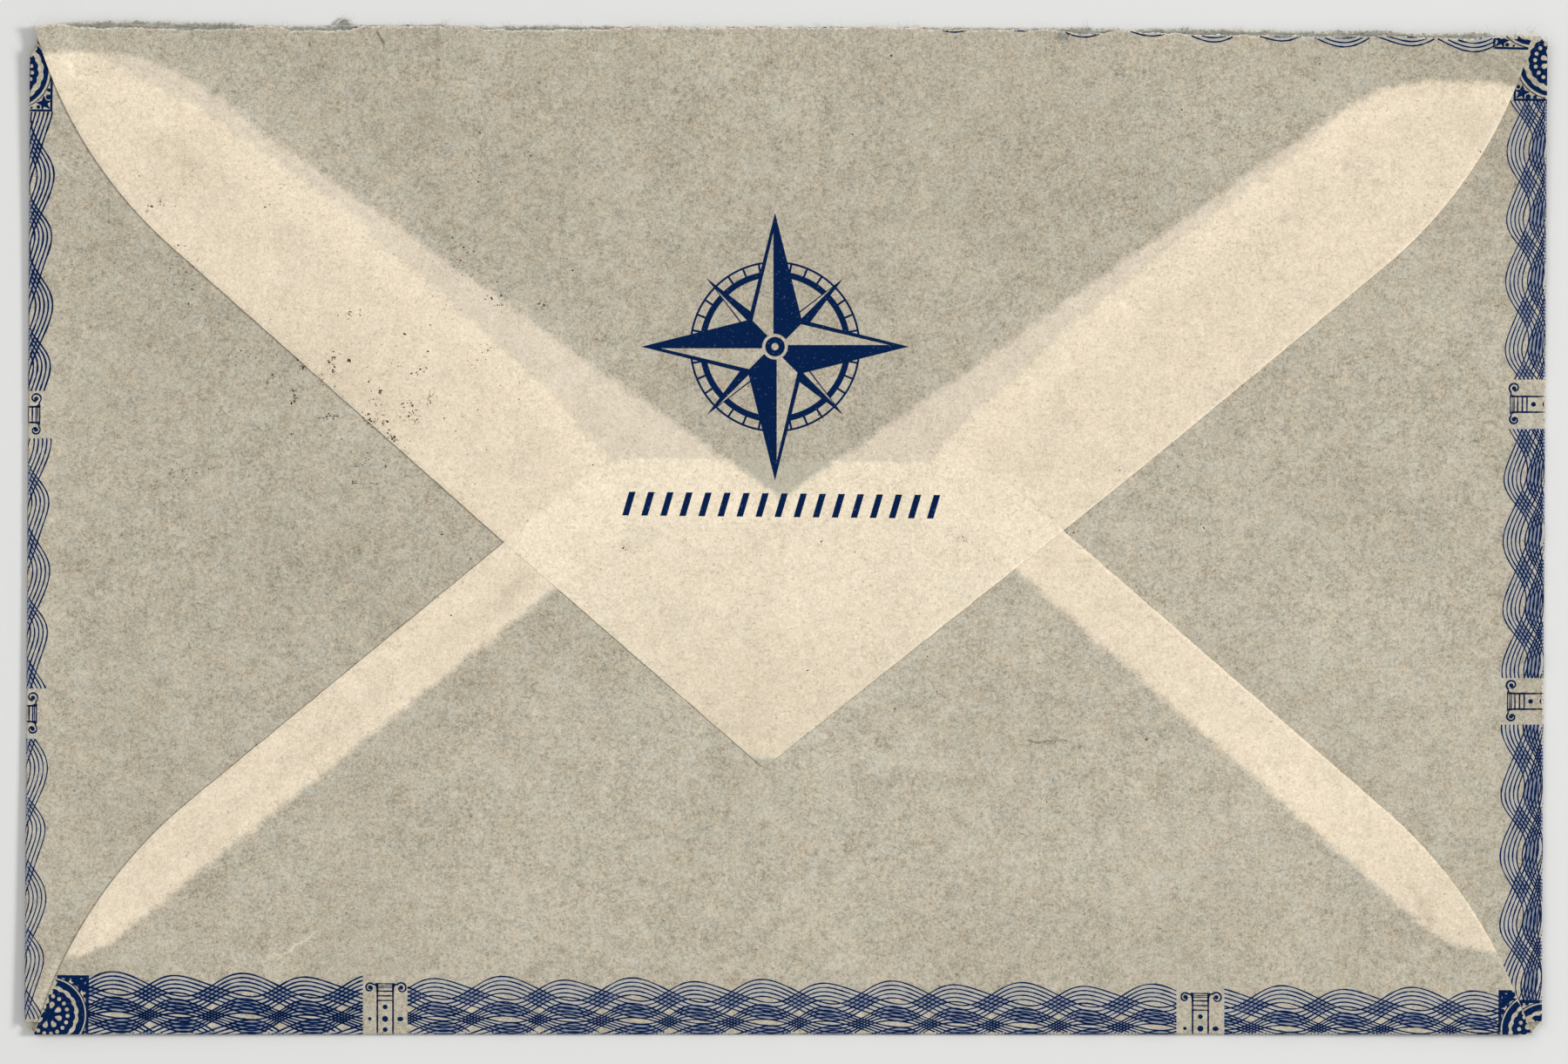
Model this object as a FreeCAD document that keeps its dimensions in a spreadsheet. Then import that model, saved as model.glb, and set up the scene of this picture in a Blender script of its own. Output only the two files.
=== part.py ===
"""Small air-mail envelope, slit open along its top fold.

The envelope is one die-cut sheet of thin paper.  The two side flaps are folded in over the front
panel first, then the bottom flap is folded up over them and gummed down.  The pointed top flap
was gummed down over all three.  Slitting the top fold parted the top flap from the sheet, so it
is a piece of its own, held only by its gum.

The envelope lies on its front panel with its flaps up.  X runs along the bottom fold, Y up
towards the slit and Z out of the flaps.  The origin is under the middle of the front panel.
"""
import FreeCAD, Part
import math
import os
import re
import Sketcher

# Driving sizes, in millimetres: alias, value, meaning.
SIZES = [
    ("width", 147.4, "from side fold to side fold"),
    ("height", 98.2, "from the bottom fold to the highest point of the slit edge"),
    ("skew", 0.55, "how far the side folds lean to the right over the height"),
    ("paper", 0.06, "thickness of the sheet"),
    ("pocket", 0.25, "gap between the front panel and the side flaps"),
    ("gum", 0.02, "dried gum between two flaps"),
    ("nip_along", 0.95, "bottom corner nip, along the bottom fold"),
    ("nip_up", 1.2, "bottom corner nip, up the side fold"),
    ("cut_along", 0.65, "cut at the top of a side fold, across"),
    ("cut_up", 1.3, "cut at the top of the left fold, up the front panel"),
    ("slit_fall", 0.75, "how far the slit edge falls from left to right"),
    ("tear", 0.4, "depth of the torn edge's largest dips"),
    ("left_fold_down", 3.1, "upper end of the left fold, below the slit line"),
    ("left_spur_down", 1.8, "top of the left flap beside its fold, below the slit line"),
    ("left_spur_width", 1.6, "width of the left flap's spur beside its fold"),
    ("left_shoulder_in", 11.6, "left flap's shoulder, in from its fold"),
    ("left_shoulder_down", 2.6, "left flap's shoulder, below the slit line"),
    ("left_shoulder_round", 20.0, "radius of the left flap's shoulder"),
    ("right_fold_down", 1.7, "upper end of the right fold, below the slit line"),
    ("right_spur_down", 1.3, "top of the right flap beside its fold, below the slit line"),
    ("right_spur_width", 3.8, "width of the right flap's spur beside its fold"),
    ("right_shoulder_in", 16.0, "right flap's shoulder, in from its fold"),
    ("right_shoulder_down", 5.7, "right flap's shoulder, below the slit line"),
    ("right_shoulder_round", 15.0, "radius of the right flap's shoulder"),
    ("spur_round", 0.3, "radius at the foot of a spur"),
    ("toe", 1.6, "level edge of a side flap at the lower end of its fold"),
    ("left_heel_in", 4.4, "left flap's heel, in from its fold"),
    ("left_heel_up", 7.5, "left flap's heel, above the bottom fold"),
    ("left_heel_level", 3.5, "length of the nearly level edge beyond the left heel"),
    ("right_heel_in", 4.6, "right flap's heel, in from its fold"),
    ("right_heel_up", 7.9, "right flap's heel, above the bottom fold"),
    ("right_heel_level", 5.1, "length of the nearly level edge beyond the right heel"),
    ("heel_rise", 1.05, "rise of that edge"),
    ("heel_round", 0.5, "radius of a heel"),
    ("heel_end_round", 6.0, "radius where that edge turns up towards the tip"),
    ("tips_x", -0.4, "where the side flaps' blunt tips meet, from the middle"),
    ("tips_y", 3.0, "upper corner of the blunt tips, above the middle"),
    ("tips_height", 2.4, "height of the blunt tips"),
    ("left_tip_flat", 14.0, "length of the level edge below the left tip"),
    ("right_tip_flat", 17.4, "length of the level edge below the right tip"),
    ("tips_gap", 0.3, "gap between the two blunt tips"),
    ("tips_round", 0.4, "radius of a blunt tip's corners"),
    ("bottom_flap_length", 55.7, "from the bottom fold to the bottom flap's top edge"),
    ("bottom_flap_fall", 0.6, "fall of that edge from left to right"),
    ("bottom_flat_left", 17.4, "bottom flap's upper left corner, from the middle"),
    ("bottom_flat_right", 19.5, "bottom flap's upper right corner, from the middle"),
    ("bottom_flat_round", 11.0, "radius of the bottom flap's upper corners"),
    ("bottom_shoulder_left_in", 6.4, "bottom flap's left shoulder, in from the side"),
    ("bottom_shoulder_right_in", 7.2, "bottom flap's right shoulder, in from the side"),
    ("bottom_shoulder_up", 14.8, "bottom flap's shoulders, above the bottom fold"),
    ("bottom_shoulder_round", 46.0, "radius of the bottom flap's shoulders"),
    ("flap_setback", 0.35, "how far the top flap's torn edge lies below the slit line"),
    ("flap_length", 72.3, "from the slit line to the top flap's point"),
    ("flap_end_left_in", 0.45, "top flap's left end, in from the side"),
    ("flap_end_right_in", 1.35, "top flap's right end, in from the side"),
    ("flap_lead_lean", 17.0, "lean of the flap's end edges from upright, in degrees"),
    ("flap_lead_left", 1.3, "straight lead of the left end edge, above its round"),
    ("flap_lead_right", 1.6, "straight lead of the right end edge, above its round"),
    ("flap_shoulder_round", 44.0, "radius of the top flap's shoulders"),
    ("flap_point_x", -2.15, "top flap's point, from the middle"),
    ("flap_point_round", 0.5, "radius of the top flap's point"),
    ("bow_share", 0.67, "where the left edge bows, as a share of the way from end to point"),
    ("bow_out", 2.6, "how far the bow stands out from the line between those two"),
    ("bow_round", 300.0, "radius of the bow"),
]
ALIAS = re.compile(r"\b(" + "|".join(alias for alias, value, meaning in SIZES) + r")\b")

# Worked out from the sizes above: heights of the layers, reach of the rolled folds and the
# lines that the outlines are measured from.
SIDE_LEVEL = "(paper + pocket)"
BOTTOM_LEVEL = "(2 * paper + pocket + gum)"
TOP_LEVEL = "(3 * paper + pocket + 2 * gum)"
SIDE_REACH = "(paper + pocket / 2)"
BOTTOM_REACH = "(paper + (paper + pocket + gum) / 2)"
SLIT = "(height / 2)"
FOOT = "(-height / 2)"
HEM = f"({FOOT} + {BOTTOM_REACH})"
NIP = f"({FOOT} + nip_up)"

# Torn edges: share of the width from the left side, and dip below the slit line as a share of
# the largest dip.
FRONT_TEAR = [(0.0075, 0.9), (0.033, 0.0), (0.19, 0.25), (0.33, 0.1), (0.47, 0.5), (0.62, 0.35),
              (0.79, 0.6), (0.962, 0.3), (0.966, 1.2), (0.986, 1.3)]
FLAP_TEAR = [(0.03, 0.1), (0.034, 0.8), (0.19, 0.9), (0.23, 0.3), (0.3, 0.25), (0.38, 0.75),
             (0.47, 0.3), (0.58, 0.35), (0.6, 0.85), (0.79, 0.95), (0.962, 0.7)]

doc = FreeCAD.newDocument("envelope")
sheet = doc.addObject("Spreadsheet::Sheet", "sizes")
for row, (alias, value, meaning) in enumerate(SIZES, start=1):
    sheet.set(f"A{row}", meaning)
    sheet.set(f"B{row}", str(value))
    sheet.setAlias(f"B{row}", alias)
doc.recompute()


def bound(formula):
    """A formula in the sheet's aliases, as an expression that an object can be bound to."""
    return ALIAS.sub(r"sizes.\1", formula)


def value_of(formula):
    """The same formula's value now, used to draw a sketch close to its solved shape."""
    return float(sheet.evalExpression(bound(formula)))


def new_body(name):
    body = doc.addObject("PartDesign::Body", name)
    body.Label = name
    body.Placement = FreeCAD.Placement()
    return body


def new_sketch(body, name, role, offset):
    """A sketch on one of the body's own origin planes, moved along the plane's normal."""
    plane = next(item for item in body.Origin.OriginFeatures if item.Role == role)
    sketch = body.newObject("Sketcher::SketchObject", name)
    sketch.AttachmentSupport = [(plane, "")]
    sketch.MapMode = "FlatFace"
    sketch.setExpression("AttachmentOffset.Base.z", bound(offset))
    return sketch


def constrain(sketch, formula, kind, *where):
    """Adds a dimension and binds it to the sheet."""
    index = sketch.addConstraint(Sketcher.Constraint(kind, *where, value_of(formula)))
    sketch.setExpression(f"Constraints[{index}]", bound(formula))


def join(sketch, kind, *where):
    sketch.addConstraint(Sketcher.Constraint(kind, *where))


def draw_outline(sketch, corners):
    """A closed outline of straight runs between corners given as (x, y, radius or None)."""
    count = len(corners)
    points = [FreeCAD.Vector(value_of(x), value_of(y), 0) for x, y, radius in corners]
    entries, exits, arcs = [], [], []
    for i, (x, y, radius) in enumerate(corners):
        before = (points[i] - points[i - 1]).normalize()
        after = (points[(i + 1) % count] - points[i]).normalize()
        if radius is None:
            entries.append(points[i])
            exits.append(points[i])
            arcs.append(None)
            continue
        turn = math.atan2(before.cross(after).z, before.dot(after))
        size = value_of(radius)
        reach = size * math.tan(abs(turn) / 2)
        entries.append(points[i] - before * reach)
        exits.append(points[i] + after * reach)
        inward = FreeCAD.Vector(-before.y, before.x, 0) * math.copysign(size, turn)
        centre = entries[i] + inward
        first, last = (entries[i], exits[i]) if turn > 0 else (exits[i], entries[i])
        angles = [math.atan2(p.y - centre.y, p.x - centre.x) for p in (first, last)]
        arcs.append((Part.ArcOfCircle(Part.Circle(centre, FreeCAD.Vector(0, 0, 1), size), *angles),
                     turn > 0))
    lines = [sketch.addGeometry(Part.LineSegment(exits[i], entries[(i + 1) % count]))
             for i in range(count)]
    for i, (x, y, radius) in enumerate(corners):
        into, out = lines[i - 1], lines[i]
        if radius is None:
            join(sketch, "Coincident", into, 2, out, 1)
            constrain(sketch, x, "DistanceX", -1, 1, out, 1)
            constrain(sketch, y, "DistanceY", -1, 1, out, 1)
            continue
        arc_shape, turns_left = arcs[i]
        arc = sketch.addGeometry(arc_shape)
        corner = sketch.addGeometry(Part.Point(points[i]), True)
        start, end = (1, 2) if turns_left else (2, 1)
        join(sketch, "Tangent", into, 2, arc, start)
        join(sketch, "Tangent", arc, end, out, 1)
        join(sketch, "PointOnObject", corner, 1, into)
        join(sketch, "PointOnObject", corner, 1, out)
        constrain(sketch, x, "DistanceX", -1, 1, corner, 1)
        constrain(sketch, y, "DistanceY", -1, 1, corner, 1)
        constrain(sketch, radius, "Radius", arc)


def add_panel(body, name, level, corners):
    """A flat part of the sheet, one paper thick, lying at a level."""
    sketch = new_sketch(body, name + "_outline", "XY_Plane", level)
    draw_outline(sketch, corners)
    pad = body.newObject("PartDesign::Pad", name)
    pad.Profile = sketch
    pad.setExpression("Length", bound("paper"))


def draw_fold(sketch, middle, reach, inner, side):
    """The half ring of a rolled fold: side is -1 where it bulges to the sketch's left."""
    centre = FreeCAD.Vector(value_of(middle), value_of(reach), 0)
    quarter = math.pi / 2
    angles = (quarter, 3 * quarter) if side < 0 else (-quarter, quarter)
    arcs = []
    for radius in (reach, inner):
        circle = Part.Circle(centre, FreeCAD.Vector(0, 0, 1), value_of(radius))
        arc = sketch.addGeometry(Part.ArcOfCircle(circle, *angles))
        constrain(sketch, radius, "Radius", arc)
        join(sketch, "Vertical", arc, 1, arc, 3)
        join(sketch, "Vertical", arc, 2, arc, 3)
        arcs.append(arc)
    outer, hollow = arcs
    join(sketch, "Coincident", outer, 3, hollow, 3)
    constrain(sketch, middle, "DistanceX", -1, 1, outer, 3)
    constrain(sketch, reach, "DistanceY", -1, 1, outer, 3)
    for end in (1, 2):
        ends = [sketch.getPoint(arc, end) for arc in arcs]
        line = sketch.addGeometry(Part.LineSegment(*ends))
        join(sketch, "Coincident", line, 1, outer, end)
        join(sketch, "Coincident", line, 2, hollow, end)


def fold_line(side, y):
    """X of the left (-1) or right (1) fold's outermost line at height y."""
    return f"({side} * width / 2 + skew * ({y}) / height)"


def inset(side, y, distance):
    """X of a point at height y, a distance in from the side's fold line."""
    return f"({fold_line(side, y)} - {side} * ({distance}))"


def add_side_fold(body, name, side, top):
    """The rolled fold at one side, from the corner nip to its upper end."""
    sketch = new_sketch(body, name + "_section", "XZ_Plane", f"-{NIP}")
    draw_fold(sketch, inset(side, NIP, SIDE_REACH), SIDE_REACH, "pocket / 2", side)
    pad = body.newObject("PartDesign::Pad", name)
    pad.Profile = sketch
    pad.UseCustomVector = True
    pad.Direction = FreeCAD.Vector(value_of("skew / height"), 1, 0)
    pad.setExpression("Direction.x", bound("skew / height"))
    pad.AlongSketchNormal = True
    pad.setExpression("Length", bound(f"{top} - {NIP}"))


def add_bottom_fold(body):
    """The rolled fold at the bottom, wide enough inside for the side flaps."""
    left, right = [inset(side, FOOT, "nip_along") for side in (-1, 1)]
    sketch = new_sketch(body, "bottom_fold_section", "YZ_Plane", left)
    draw_fold(sketch, HEM, BOTTOM_REACH, "(paper + pocket + gum) / 2", -1)
    pad = body.newObject("PartDesign::Pad", "bottom_fold")
    pad.Profile = sketch
    pad.setExpression("Length", bound(f"{right} - {left}"))


def torn_edge(points, setback):
    """Corners of a torn edge from right to left, a setback below the slit line."""
    return [(f"-width / 2 + width * {share}",
             f"{SLIT} - slit_fall * {share} - tear * {dip} - {setback}", None)
            for share, dip in reversed(points)]


def front_panel_corners():
    """The front panel: nipped bottom corners, a torn top edge and a cut top left corner."""
    left_top, right_top = f"({SLIT} - left_fold_down)", f"({SLIT} - right_fold_down)"
    cut = f"({left_top} + cut_up)"
    hem_corners = [(inset(side, FOOT, "nip_along"), HEM, None) for side in (-1, 1)]
    right_side = [(inset(1, y, SIDE_REACH), y, None) for y in (NIP, right_top)]
    left_side = [(inset(-1, cut, "cut_along"), cut, None)]
    left_side += [(inset(-1, y, SIDE_REACH), y, None) for y in (left_top, NIP)]
    return hem_corners + right_side + torn_edge(FRONT_TEAR, "0") + left_side


def side_flap_corners(side, name):
    """A side flap: a spur beside the fold, a round shoulder, a blunt tip at the middle and a
    heel above the nip."""
    fold_top = f"({SLIT} - {name}_fold_down)"
    spur_top = f"({SLIT} - {name}_spur_down)"
    shoulder = f"({SLIT} - {name}_shoulder_down)"
    tip = f"(tips_x + {side} * tips_gap / 2)"
    tip_foot = "(tips_y - tips_height)"
    heel, heel_in = f"({FOOT} + {name}_heel_up)", f"{name}_heel_in"
    heel_end = f"({heel} + heel_rise)"
    corners = [
        (inset(side, NIP, SIDE_REACH), NIP, None),
        (inset(side, NIP, "toe"), NIP, None),
        (inset(side, heel, heel_in), heel, "heel_round"),
        (inset(side, heel_end, f"({heel_in} + {name}_heel_level)"), heel_end, "heel_end_round"),
        (f"{tip} + {side} * {name}_tip_flat", tip_foot, "tips_round"),
        (tip, tip_foot, "tips_round"),
        (tip, "tips_y", "tips_round"),
        (inset(side, shoulder, f"{name}_shoulder_in"), shoulder, f"{name}_shoulder_round"),
        (inset(side, spur_top, f"{name}_spur_width"), shoulder, "spur_round"),
        (inset(side, spur_top, f"{name}_spur_width"), spur_top, None),
        (inset(side, spur_top, "cut_along"), spur_top, None),
        (inset(side, fold_top, SIDE_REACH), fold_top, None),
    ]
    return corners if side < 0 else corners[::-1]


def bottom_flap_corners():
    """The bottom flap: round shoulders above the nips and a nearly level top edge."""
    top = f"({FOOT} + bottom_flap_length)"
    shoulder = f"({FOOT} + bottom_shoulder_up)"
    hem_corners = [(inset(side, FOOT, "nip_along"), HEM, None) for side in (-1, 1)]
    return hem_corners + [
        (inset(1, shoulder, "bottom_shoulder_right_in"), shoulder, "bottom_shoulder_round"),
        ("bottom_flat_right", f"{top} - bottom_flap_fall / 2", "bottom_flat_round"),
        ("-bottom_flat_left", f"{top} + bottom_flap_fall / 2", "bottom_flat_round"),
        (inset(-1, shoulder, "bottom_shoulder_left_in"), shoulder, "bottom_shoulder_round")]


def flap_shoulder(side, end, lead, onward):
    """Corner of the round that follows a straight lead and runs on to the onward corner."""
    (end_x, end_y), (onward_x, onward_y) = end, onward
    lean = "(flap_lead_lean * 1 deg)"
    across, down = f"sin({lean})", f"cos({lean})"
    centre_x = f"({end_x} - {side} * ({lead} * {across} + flap_shoulder_round * {down}))"
    centre_y = f"({end_y} - {lead} * {down} + flap_shoulder_round * {across})"
    run_x = f"({side} * ({centre_x} - ({onward_x})))"
    run_y = f"({centre_y} - ({onward_y}))"
    edge = f"(atan2({run_y}; {run_x}) - asin(flap_shoulder_round / hypot({run_x}; {run_y})))"
    reach = f"({lead} + flap_shoulder_round * tan((90 deg - {lean} - {edge}) / 2))"
    return (f"{end_x} - {side} * {reach} * {across}", f"{end_y} - {reach} * {down}",
            "flap_shoulder_round")


def top_flap_corners():
    """The top flap: a torn top edge, round shoulders, a slight bow and a sharp point."""
    end_y = f"({SLIT} - flap_setback)"
    left_end = (inset(-1, end_y, "flap_end_left_in"), end_y)
    right_end = (inset(1, end_y, "flap_end_right_in"), f"({end_y} - slit_fall)")
    point = ("flap_point_x", f"({SLIT} - flap_length)")
    run_x, run_y = f"({point[0]} - {left_end[0]})", f"({point[1]} - {end_y})"
    out = f"bow_out / hypot({run_x}; {run_y})"
    bow = (f"({left_end[0]} + {run_x} * bow_share + {run_y} * {out})",
           f"({end_y} + {run_y} * bow_share - {run_x} * {out})")
    return [
        (*left_end, None),
        flap_shoulder(-1, left_end, "flap_lead_left", bow),
        (*bow, "bow_round"),
        (*point, "flap_point_round"),
        flap_shoulder(1, right_end, "flap_lead_right", point),
        (*right_end, None),
    ] + torn_edge(FLAP_TEAR, "flap_setback")


def build_envelope_body():
    body = new_body("envelope_body")
    add_panel(body, "front_panel", "0", front_panel_corners())
    for side, name in ((-1, "left"), (1, "right")):
        add_side_fold(body, name + "_fold", side, f"({SLIT} - {name}_fold_down)")
        add_panel(body, name + "_flap", SIDE_LEVEL, side_flap_corners(side, name))
    add_bottom_fold(body)
    add_panel(body, "bottom_flap", BOTTOM_LEVEL, bottom_flap_corners())
    return body


def build_top_flap():
    body = new_body("top_flap")
    add_panel(body, "pointed_flap", TOP_LEVEL, top_flap_corners())
    return body


bodies = [build_envelope_body(), build_top_flap()]
doc.recompute()

for item in doc.Objects:
    failed = {"Invalid", "Error"} & set(item.State)
    if failed:
        raise RuntimeError(f"{item.Name} failed: {item.State}")
for body in bodies:
    if body.Shape.isNull() or not body.Shape.isValid() or len(body.Shape.Solids) != 1:
        raise RuntimeError(f"{body.Label} isn't one valid solid")

os.makedirs("parts", exist_ok=True)
for body in bodies:
    body.Shape.exportStep(os.path.join("parts", body.Label + ".step"))
    box = body.Shape.BoundBox
    print(f"{body.Label}: {body.Shape.Volume:.2f} mm3, {box.XLength:.2f} x {box.YLength:.2f} x "
          f"{box.ZLength:.2f} mm")
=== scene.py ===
"""Looks of a small air-mail envelope of thin, see-through paper, slit open along its top.

Lengths are in millimetres until a mesh is made.  X runs along the bottom fold, Y up towards the
slit and Z out of the flaps, as in the frame.
"""
import math
from types import SimpleNamespace

import bpy
import numpy as np
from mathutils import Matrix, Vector
from mathutils.bvhtree import BVHTree
from mathutils.geometry import delaunay_2d_cdt


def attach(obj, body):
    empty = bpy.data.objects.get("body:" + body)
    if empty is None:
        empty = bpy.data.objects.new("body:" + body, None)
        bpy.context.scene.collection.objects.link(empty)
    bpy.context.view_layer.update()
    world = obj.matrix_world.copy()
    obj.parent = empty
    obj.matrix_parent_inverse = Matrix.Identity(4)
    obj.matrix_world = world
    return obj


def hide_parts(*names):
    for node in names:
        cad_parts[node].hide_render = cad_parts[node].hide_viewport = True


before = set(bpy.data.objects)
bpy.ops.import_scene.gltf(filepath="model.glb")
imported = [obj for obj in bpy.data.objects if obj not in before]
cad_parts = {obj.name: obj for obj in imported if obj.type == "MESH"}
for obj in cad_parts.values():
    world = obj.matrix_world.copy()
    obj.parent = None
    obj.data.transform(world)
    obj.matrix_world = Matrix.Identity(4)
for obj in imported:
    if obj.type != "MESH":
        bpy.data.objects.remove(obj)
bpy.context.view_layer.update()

MM = 0.001
QUARTER = math.pi / 2

# ---------------------------------------------------------------------------
# Sizes of the envelope, as in its construction
# ---------------------------------------------------------------------------
WIDTH, HEIGHT, SKEW = 147.4, 98.2, 0.55
PAPER, POCKET, GUM = 0.06, 0.25, 0.02
SIDE_LEVEL = PAPER + POCKET
BOTTOM_LEVEL = SIDE_LEVEL + PAPER + GUM
TOP_LEVEL = BOTTOM_LEVEL + PAPER + GUM
SIDE_REACH = PAPER + POCKET / 2
BOTTOM_REACH = PAPER + (PAPER + POCKET + GUM) / 2
SLIT, FOOT = HEIGHT / 2, -HEIGHT / 2
HEM = FOOT + BOTTOM_REACH
NIP_ALONG, NIP_UP = 0.95, 1.2
NIP = FOOT + NIP_UP
CUT_ALONG, CUT_UP = 0.65, 1.3
SLIT_FALL, TEAR = 0.75, 0.4
FOLD_TOP = {-1: SLIT - 3.1, 1: SLIT - 1.7}

# Side flaps: spur height and width, shoulder distance in and down, shoulder radius.
SIDE_FLAPS = {-1: (1.8, 1.6, 11.6, 2.6, 20.0), 1: (1.3, 3.8, 16.0, 5.7, 15.0)}
SPUR_ROUND = 0.3
TIPS_X, TIPS_Y, TIPS_HEIGHT, TIPS_GAP, TIPS_ROUND = -0.4, 3.0, 2.4, 0.3, 0.4
TIP_FLAT = {-1: 14.0, 1: 17.4}
TOE, HEEL_RISE, HEEL_ROUND, HEEL_END_ROUND = 1.6, 1.05, 0.5, 6.0
# Heel of each side flap: in from the fold, above the bottom fold, length of its level edge.
HEELS = {-1: (4.4, 7.5, 3.5), 1: (4.6, 7.9, 5.1)}
BOTTOM_TOP = FOOT + 55.7
BOTTOM_FALL = 0.6
BOTTOM_FLAT = {-1: 17.4, 1: 19.5}
BOTTOM_FLAT_ROUND = 11.0
BOTTOM_SHOULDER_IN = {-1: 6.4, 1: 7.2}
BOTTOM_SHOULDER_UP, BOTTOM_SHOULDER_ROUND = 14.8, 46.0
FLAP_SETBACK, FLAP_LENGTH = 0.35, 72.3
FLAP_END_IN = {-1: 0.45, 1: 1.35}
FLAP_LEAD_LEAN = math.radians(17.0)
FLAP_LEAD = {-1: 1.3, 1: 1.6}
FLAP_SHOULDER_ROUND = 44.0
FLAP_POINT = (-2.15, SLIT - FLAP_LENGTH)
FLAP_POINT_ROUND = 0.5
BOW_SHARE, BOW_OUT, BOW_ROUND = 0.67, 2.6, 300.0
RIGHT_BOW_SHARE, RIGHT_BOW_OUT, RIGHT_BOW_ROUND = 0.5, 0.42, 900.0

# Torn edges: share of the width from the left side, dip as a share of the largest one.
FRONT_TEAR = [
    (0.0075, 0.9), (0.02, 0.2), (0.03, -0.25), (0.045, -0.65), (0.068, -0.75), (0.091, -0.6),
    (0.111, -0.3), (0.125, -0.45), (0.154, 0.2), (0.18, 0.3), (0.203, 0.1), (0.205, -1.1),
    (0.2085, -1.9), (0.2125, -1.5), (0.2145, 0.0), (0.258, 0.0), (0.268, -0.4), (0.278, -0.05),
    (0.309, 0.25), (0.336, -0.2), (0.361, -0.1), (0.407, 0.05), (0.5, 0.0), (0.533, -0.15),
    (0.568, 0.0), (0.579, -0.25), (0.614, -0.2), (0.667, 0.0), (0.7, -0.25), (0.723, 0.2),
    (0.746, -0.15), (0.786, -0.05), (0.835, 0.25), (0.853, 0.35), (0.891, 0.0), (0.916, 0.8),
    (0.939, 0.65), (0.962, 0.3), (0.966, 1.2), (0.986, 1.3)]
FLAP_TEAR = [
    (0.012, -0.6), (0.03, -0.45), (0.034, 0.0), (0.045, 0.2), (0.068, 0.0), (0.091, 0.3),
    (0.108, 0.5), (0.128, 0.25), (0.144, 0.05), (0.152, -0.6), (0.166, -0.55), (0.173, 0.5),
    (0.202, 0.5), (0.214, 0.2), (0.22, -0.6), (0.292, -0.8), (0.301, -0.1), (0.327, 0.2),
    (0.35, 0.0), (0.384, -0.2), (0.4, -0.8), (0.46, -0.8), (0.585, -1.0), (0.594, -0.45),
    (0.663, -0.5), (0.674, -0.8), (0.687, 0.0), (0.692, 0.45), (0.71, 0.25), (0.717, -0.5),
    (0.729, -0.55), (0.736, 0.1), (0.755, 0.0), (0.763, 0.4), (0.8, 0.5), (0.835, 0.6),
    (0.861, 0.9), (0.895, 0.45), (0.924, 0.9), (0.955, 1.2), (0.962, 0.7)]

# How finely the paper is meshed: cell of the net, steps along folds, cuts and tears, steps round
# a fold, and rows of points beside the cut edges, the tears and the edges of the layers beneath.
CELL, FOLD_STEP, CUT_STEP, TEAR_STEP, FOLD_TURNS = 0.85, 0.7, 0.5, 0.13, 8
CUT_ROWS, TEAR_ROWS = (0.13, 0.28, 0.45), (0.11, 0.24)
UNDER_ROWS = (-1.15, -0.85, -0.58, -0.3, 0.0)

# How far the ink, the tone between its lines and the specks stand off the paper.
INK_LIFT, TONE_LIFT, SPECK_LIFT = 0.012, 0.006, 0.016

# What a place on the paper has unless told otherwise: no layer, gum, tear, bruise, painted shade
# or painted highlight near it.
FAR = 9.0
BARE = {"on_sides": -FAR, "on_bottom": -FAR, "gum": -FAR, "torn": 0.0, "pale": 0.0, "thin": 0.0}


# ---------------------------------------------------------------------------
# Plane geometry
# ---------------------------------------------------------------------------
def fold_line(side, y):
    """Where a side's fold lies at a height."""
    return side * WIDTH / 2 + SKEW * y / HEIGHT


def inset(side, y, distance):
    """A place in from a side's fold."""
    return fold_line(side, y) - side * distance


def ramp(value, low, high):
    """A smooth rise from 0 at low to 1 at high."""
    share = np.clip((value - low) / (high - low), 0.0, 1.0)
    return share * share * (3 - 2 * share)


def pairs(x, y):
    """Two rows of numbers as points."""
    return np.stack([x, y], 1)


def mix(first, second, share):
    """A blend, from the first at share 0 to the second at share 1."""
    return first + (second - first) * share


def wander(length, seed, shortest, longest, count=26, lean=0.7):
    """A rough line's offset along its length, about 1 high."""
    rng = np.random.default_rng(seed)
    total = np.zeros_like(length)
    power = 0.0
    for _ in range(count):
        wave = math.exp(rng.uniform(math.log(shortest), math.log(longest)))
        size = (wave / longest) ** lean
        total += size * np.cos(2 * math.pi * length / wave + rng.uniform(0, 2 * math.pi))
        power += size * size / 2
    return total / math.sqrt(power)


def swell(x, y, seed, shortest, longest, count=18, lean=1.2):
    """A gentle unevenness of the paper over its plane, about 1 high."""
    rng = np.random.default_rng(seed)
    total = np.zeros_like(x)
    power = 0.0
    for _ in range(count):
        wave = math.exp(rng.uniform(math.log(shortest), math.log(longest)))
        turn, phase = rng.uniform(0, 2 * math.pi, 2)
        size = (wave / longest) ** lean
        along = x * math.cos(turn) + y * math.sin(turn)
        total += size * np.cos(2 * math.pi * along / wave + phase)
        power += size * size / 2
    return total / math.sqrt(power)


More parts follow.
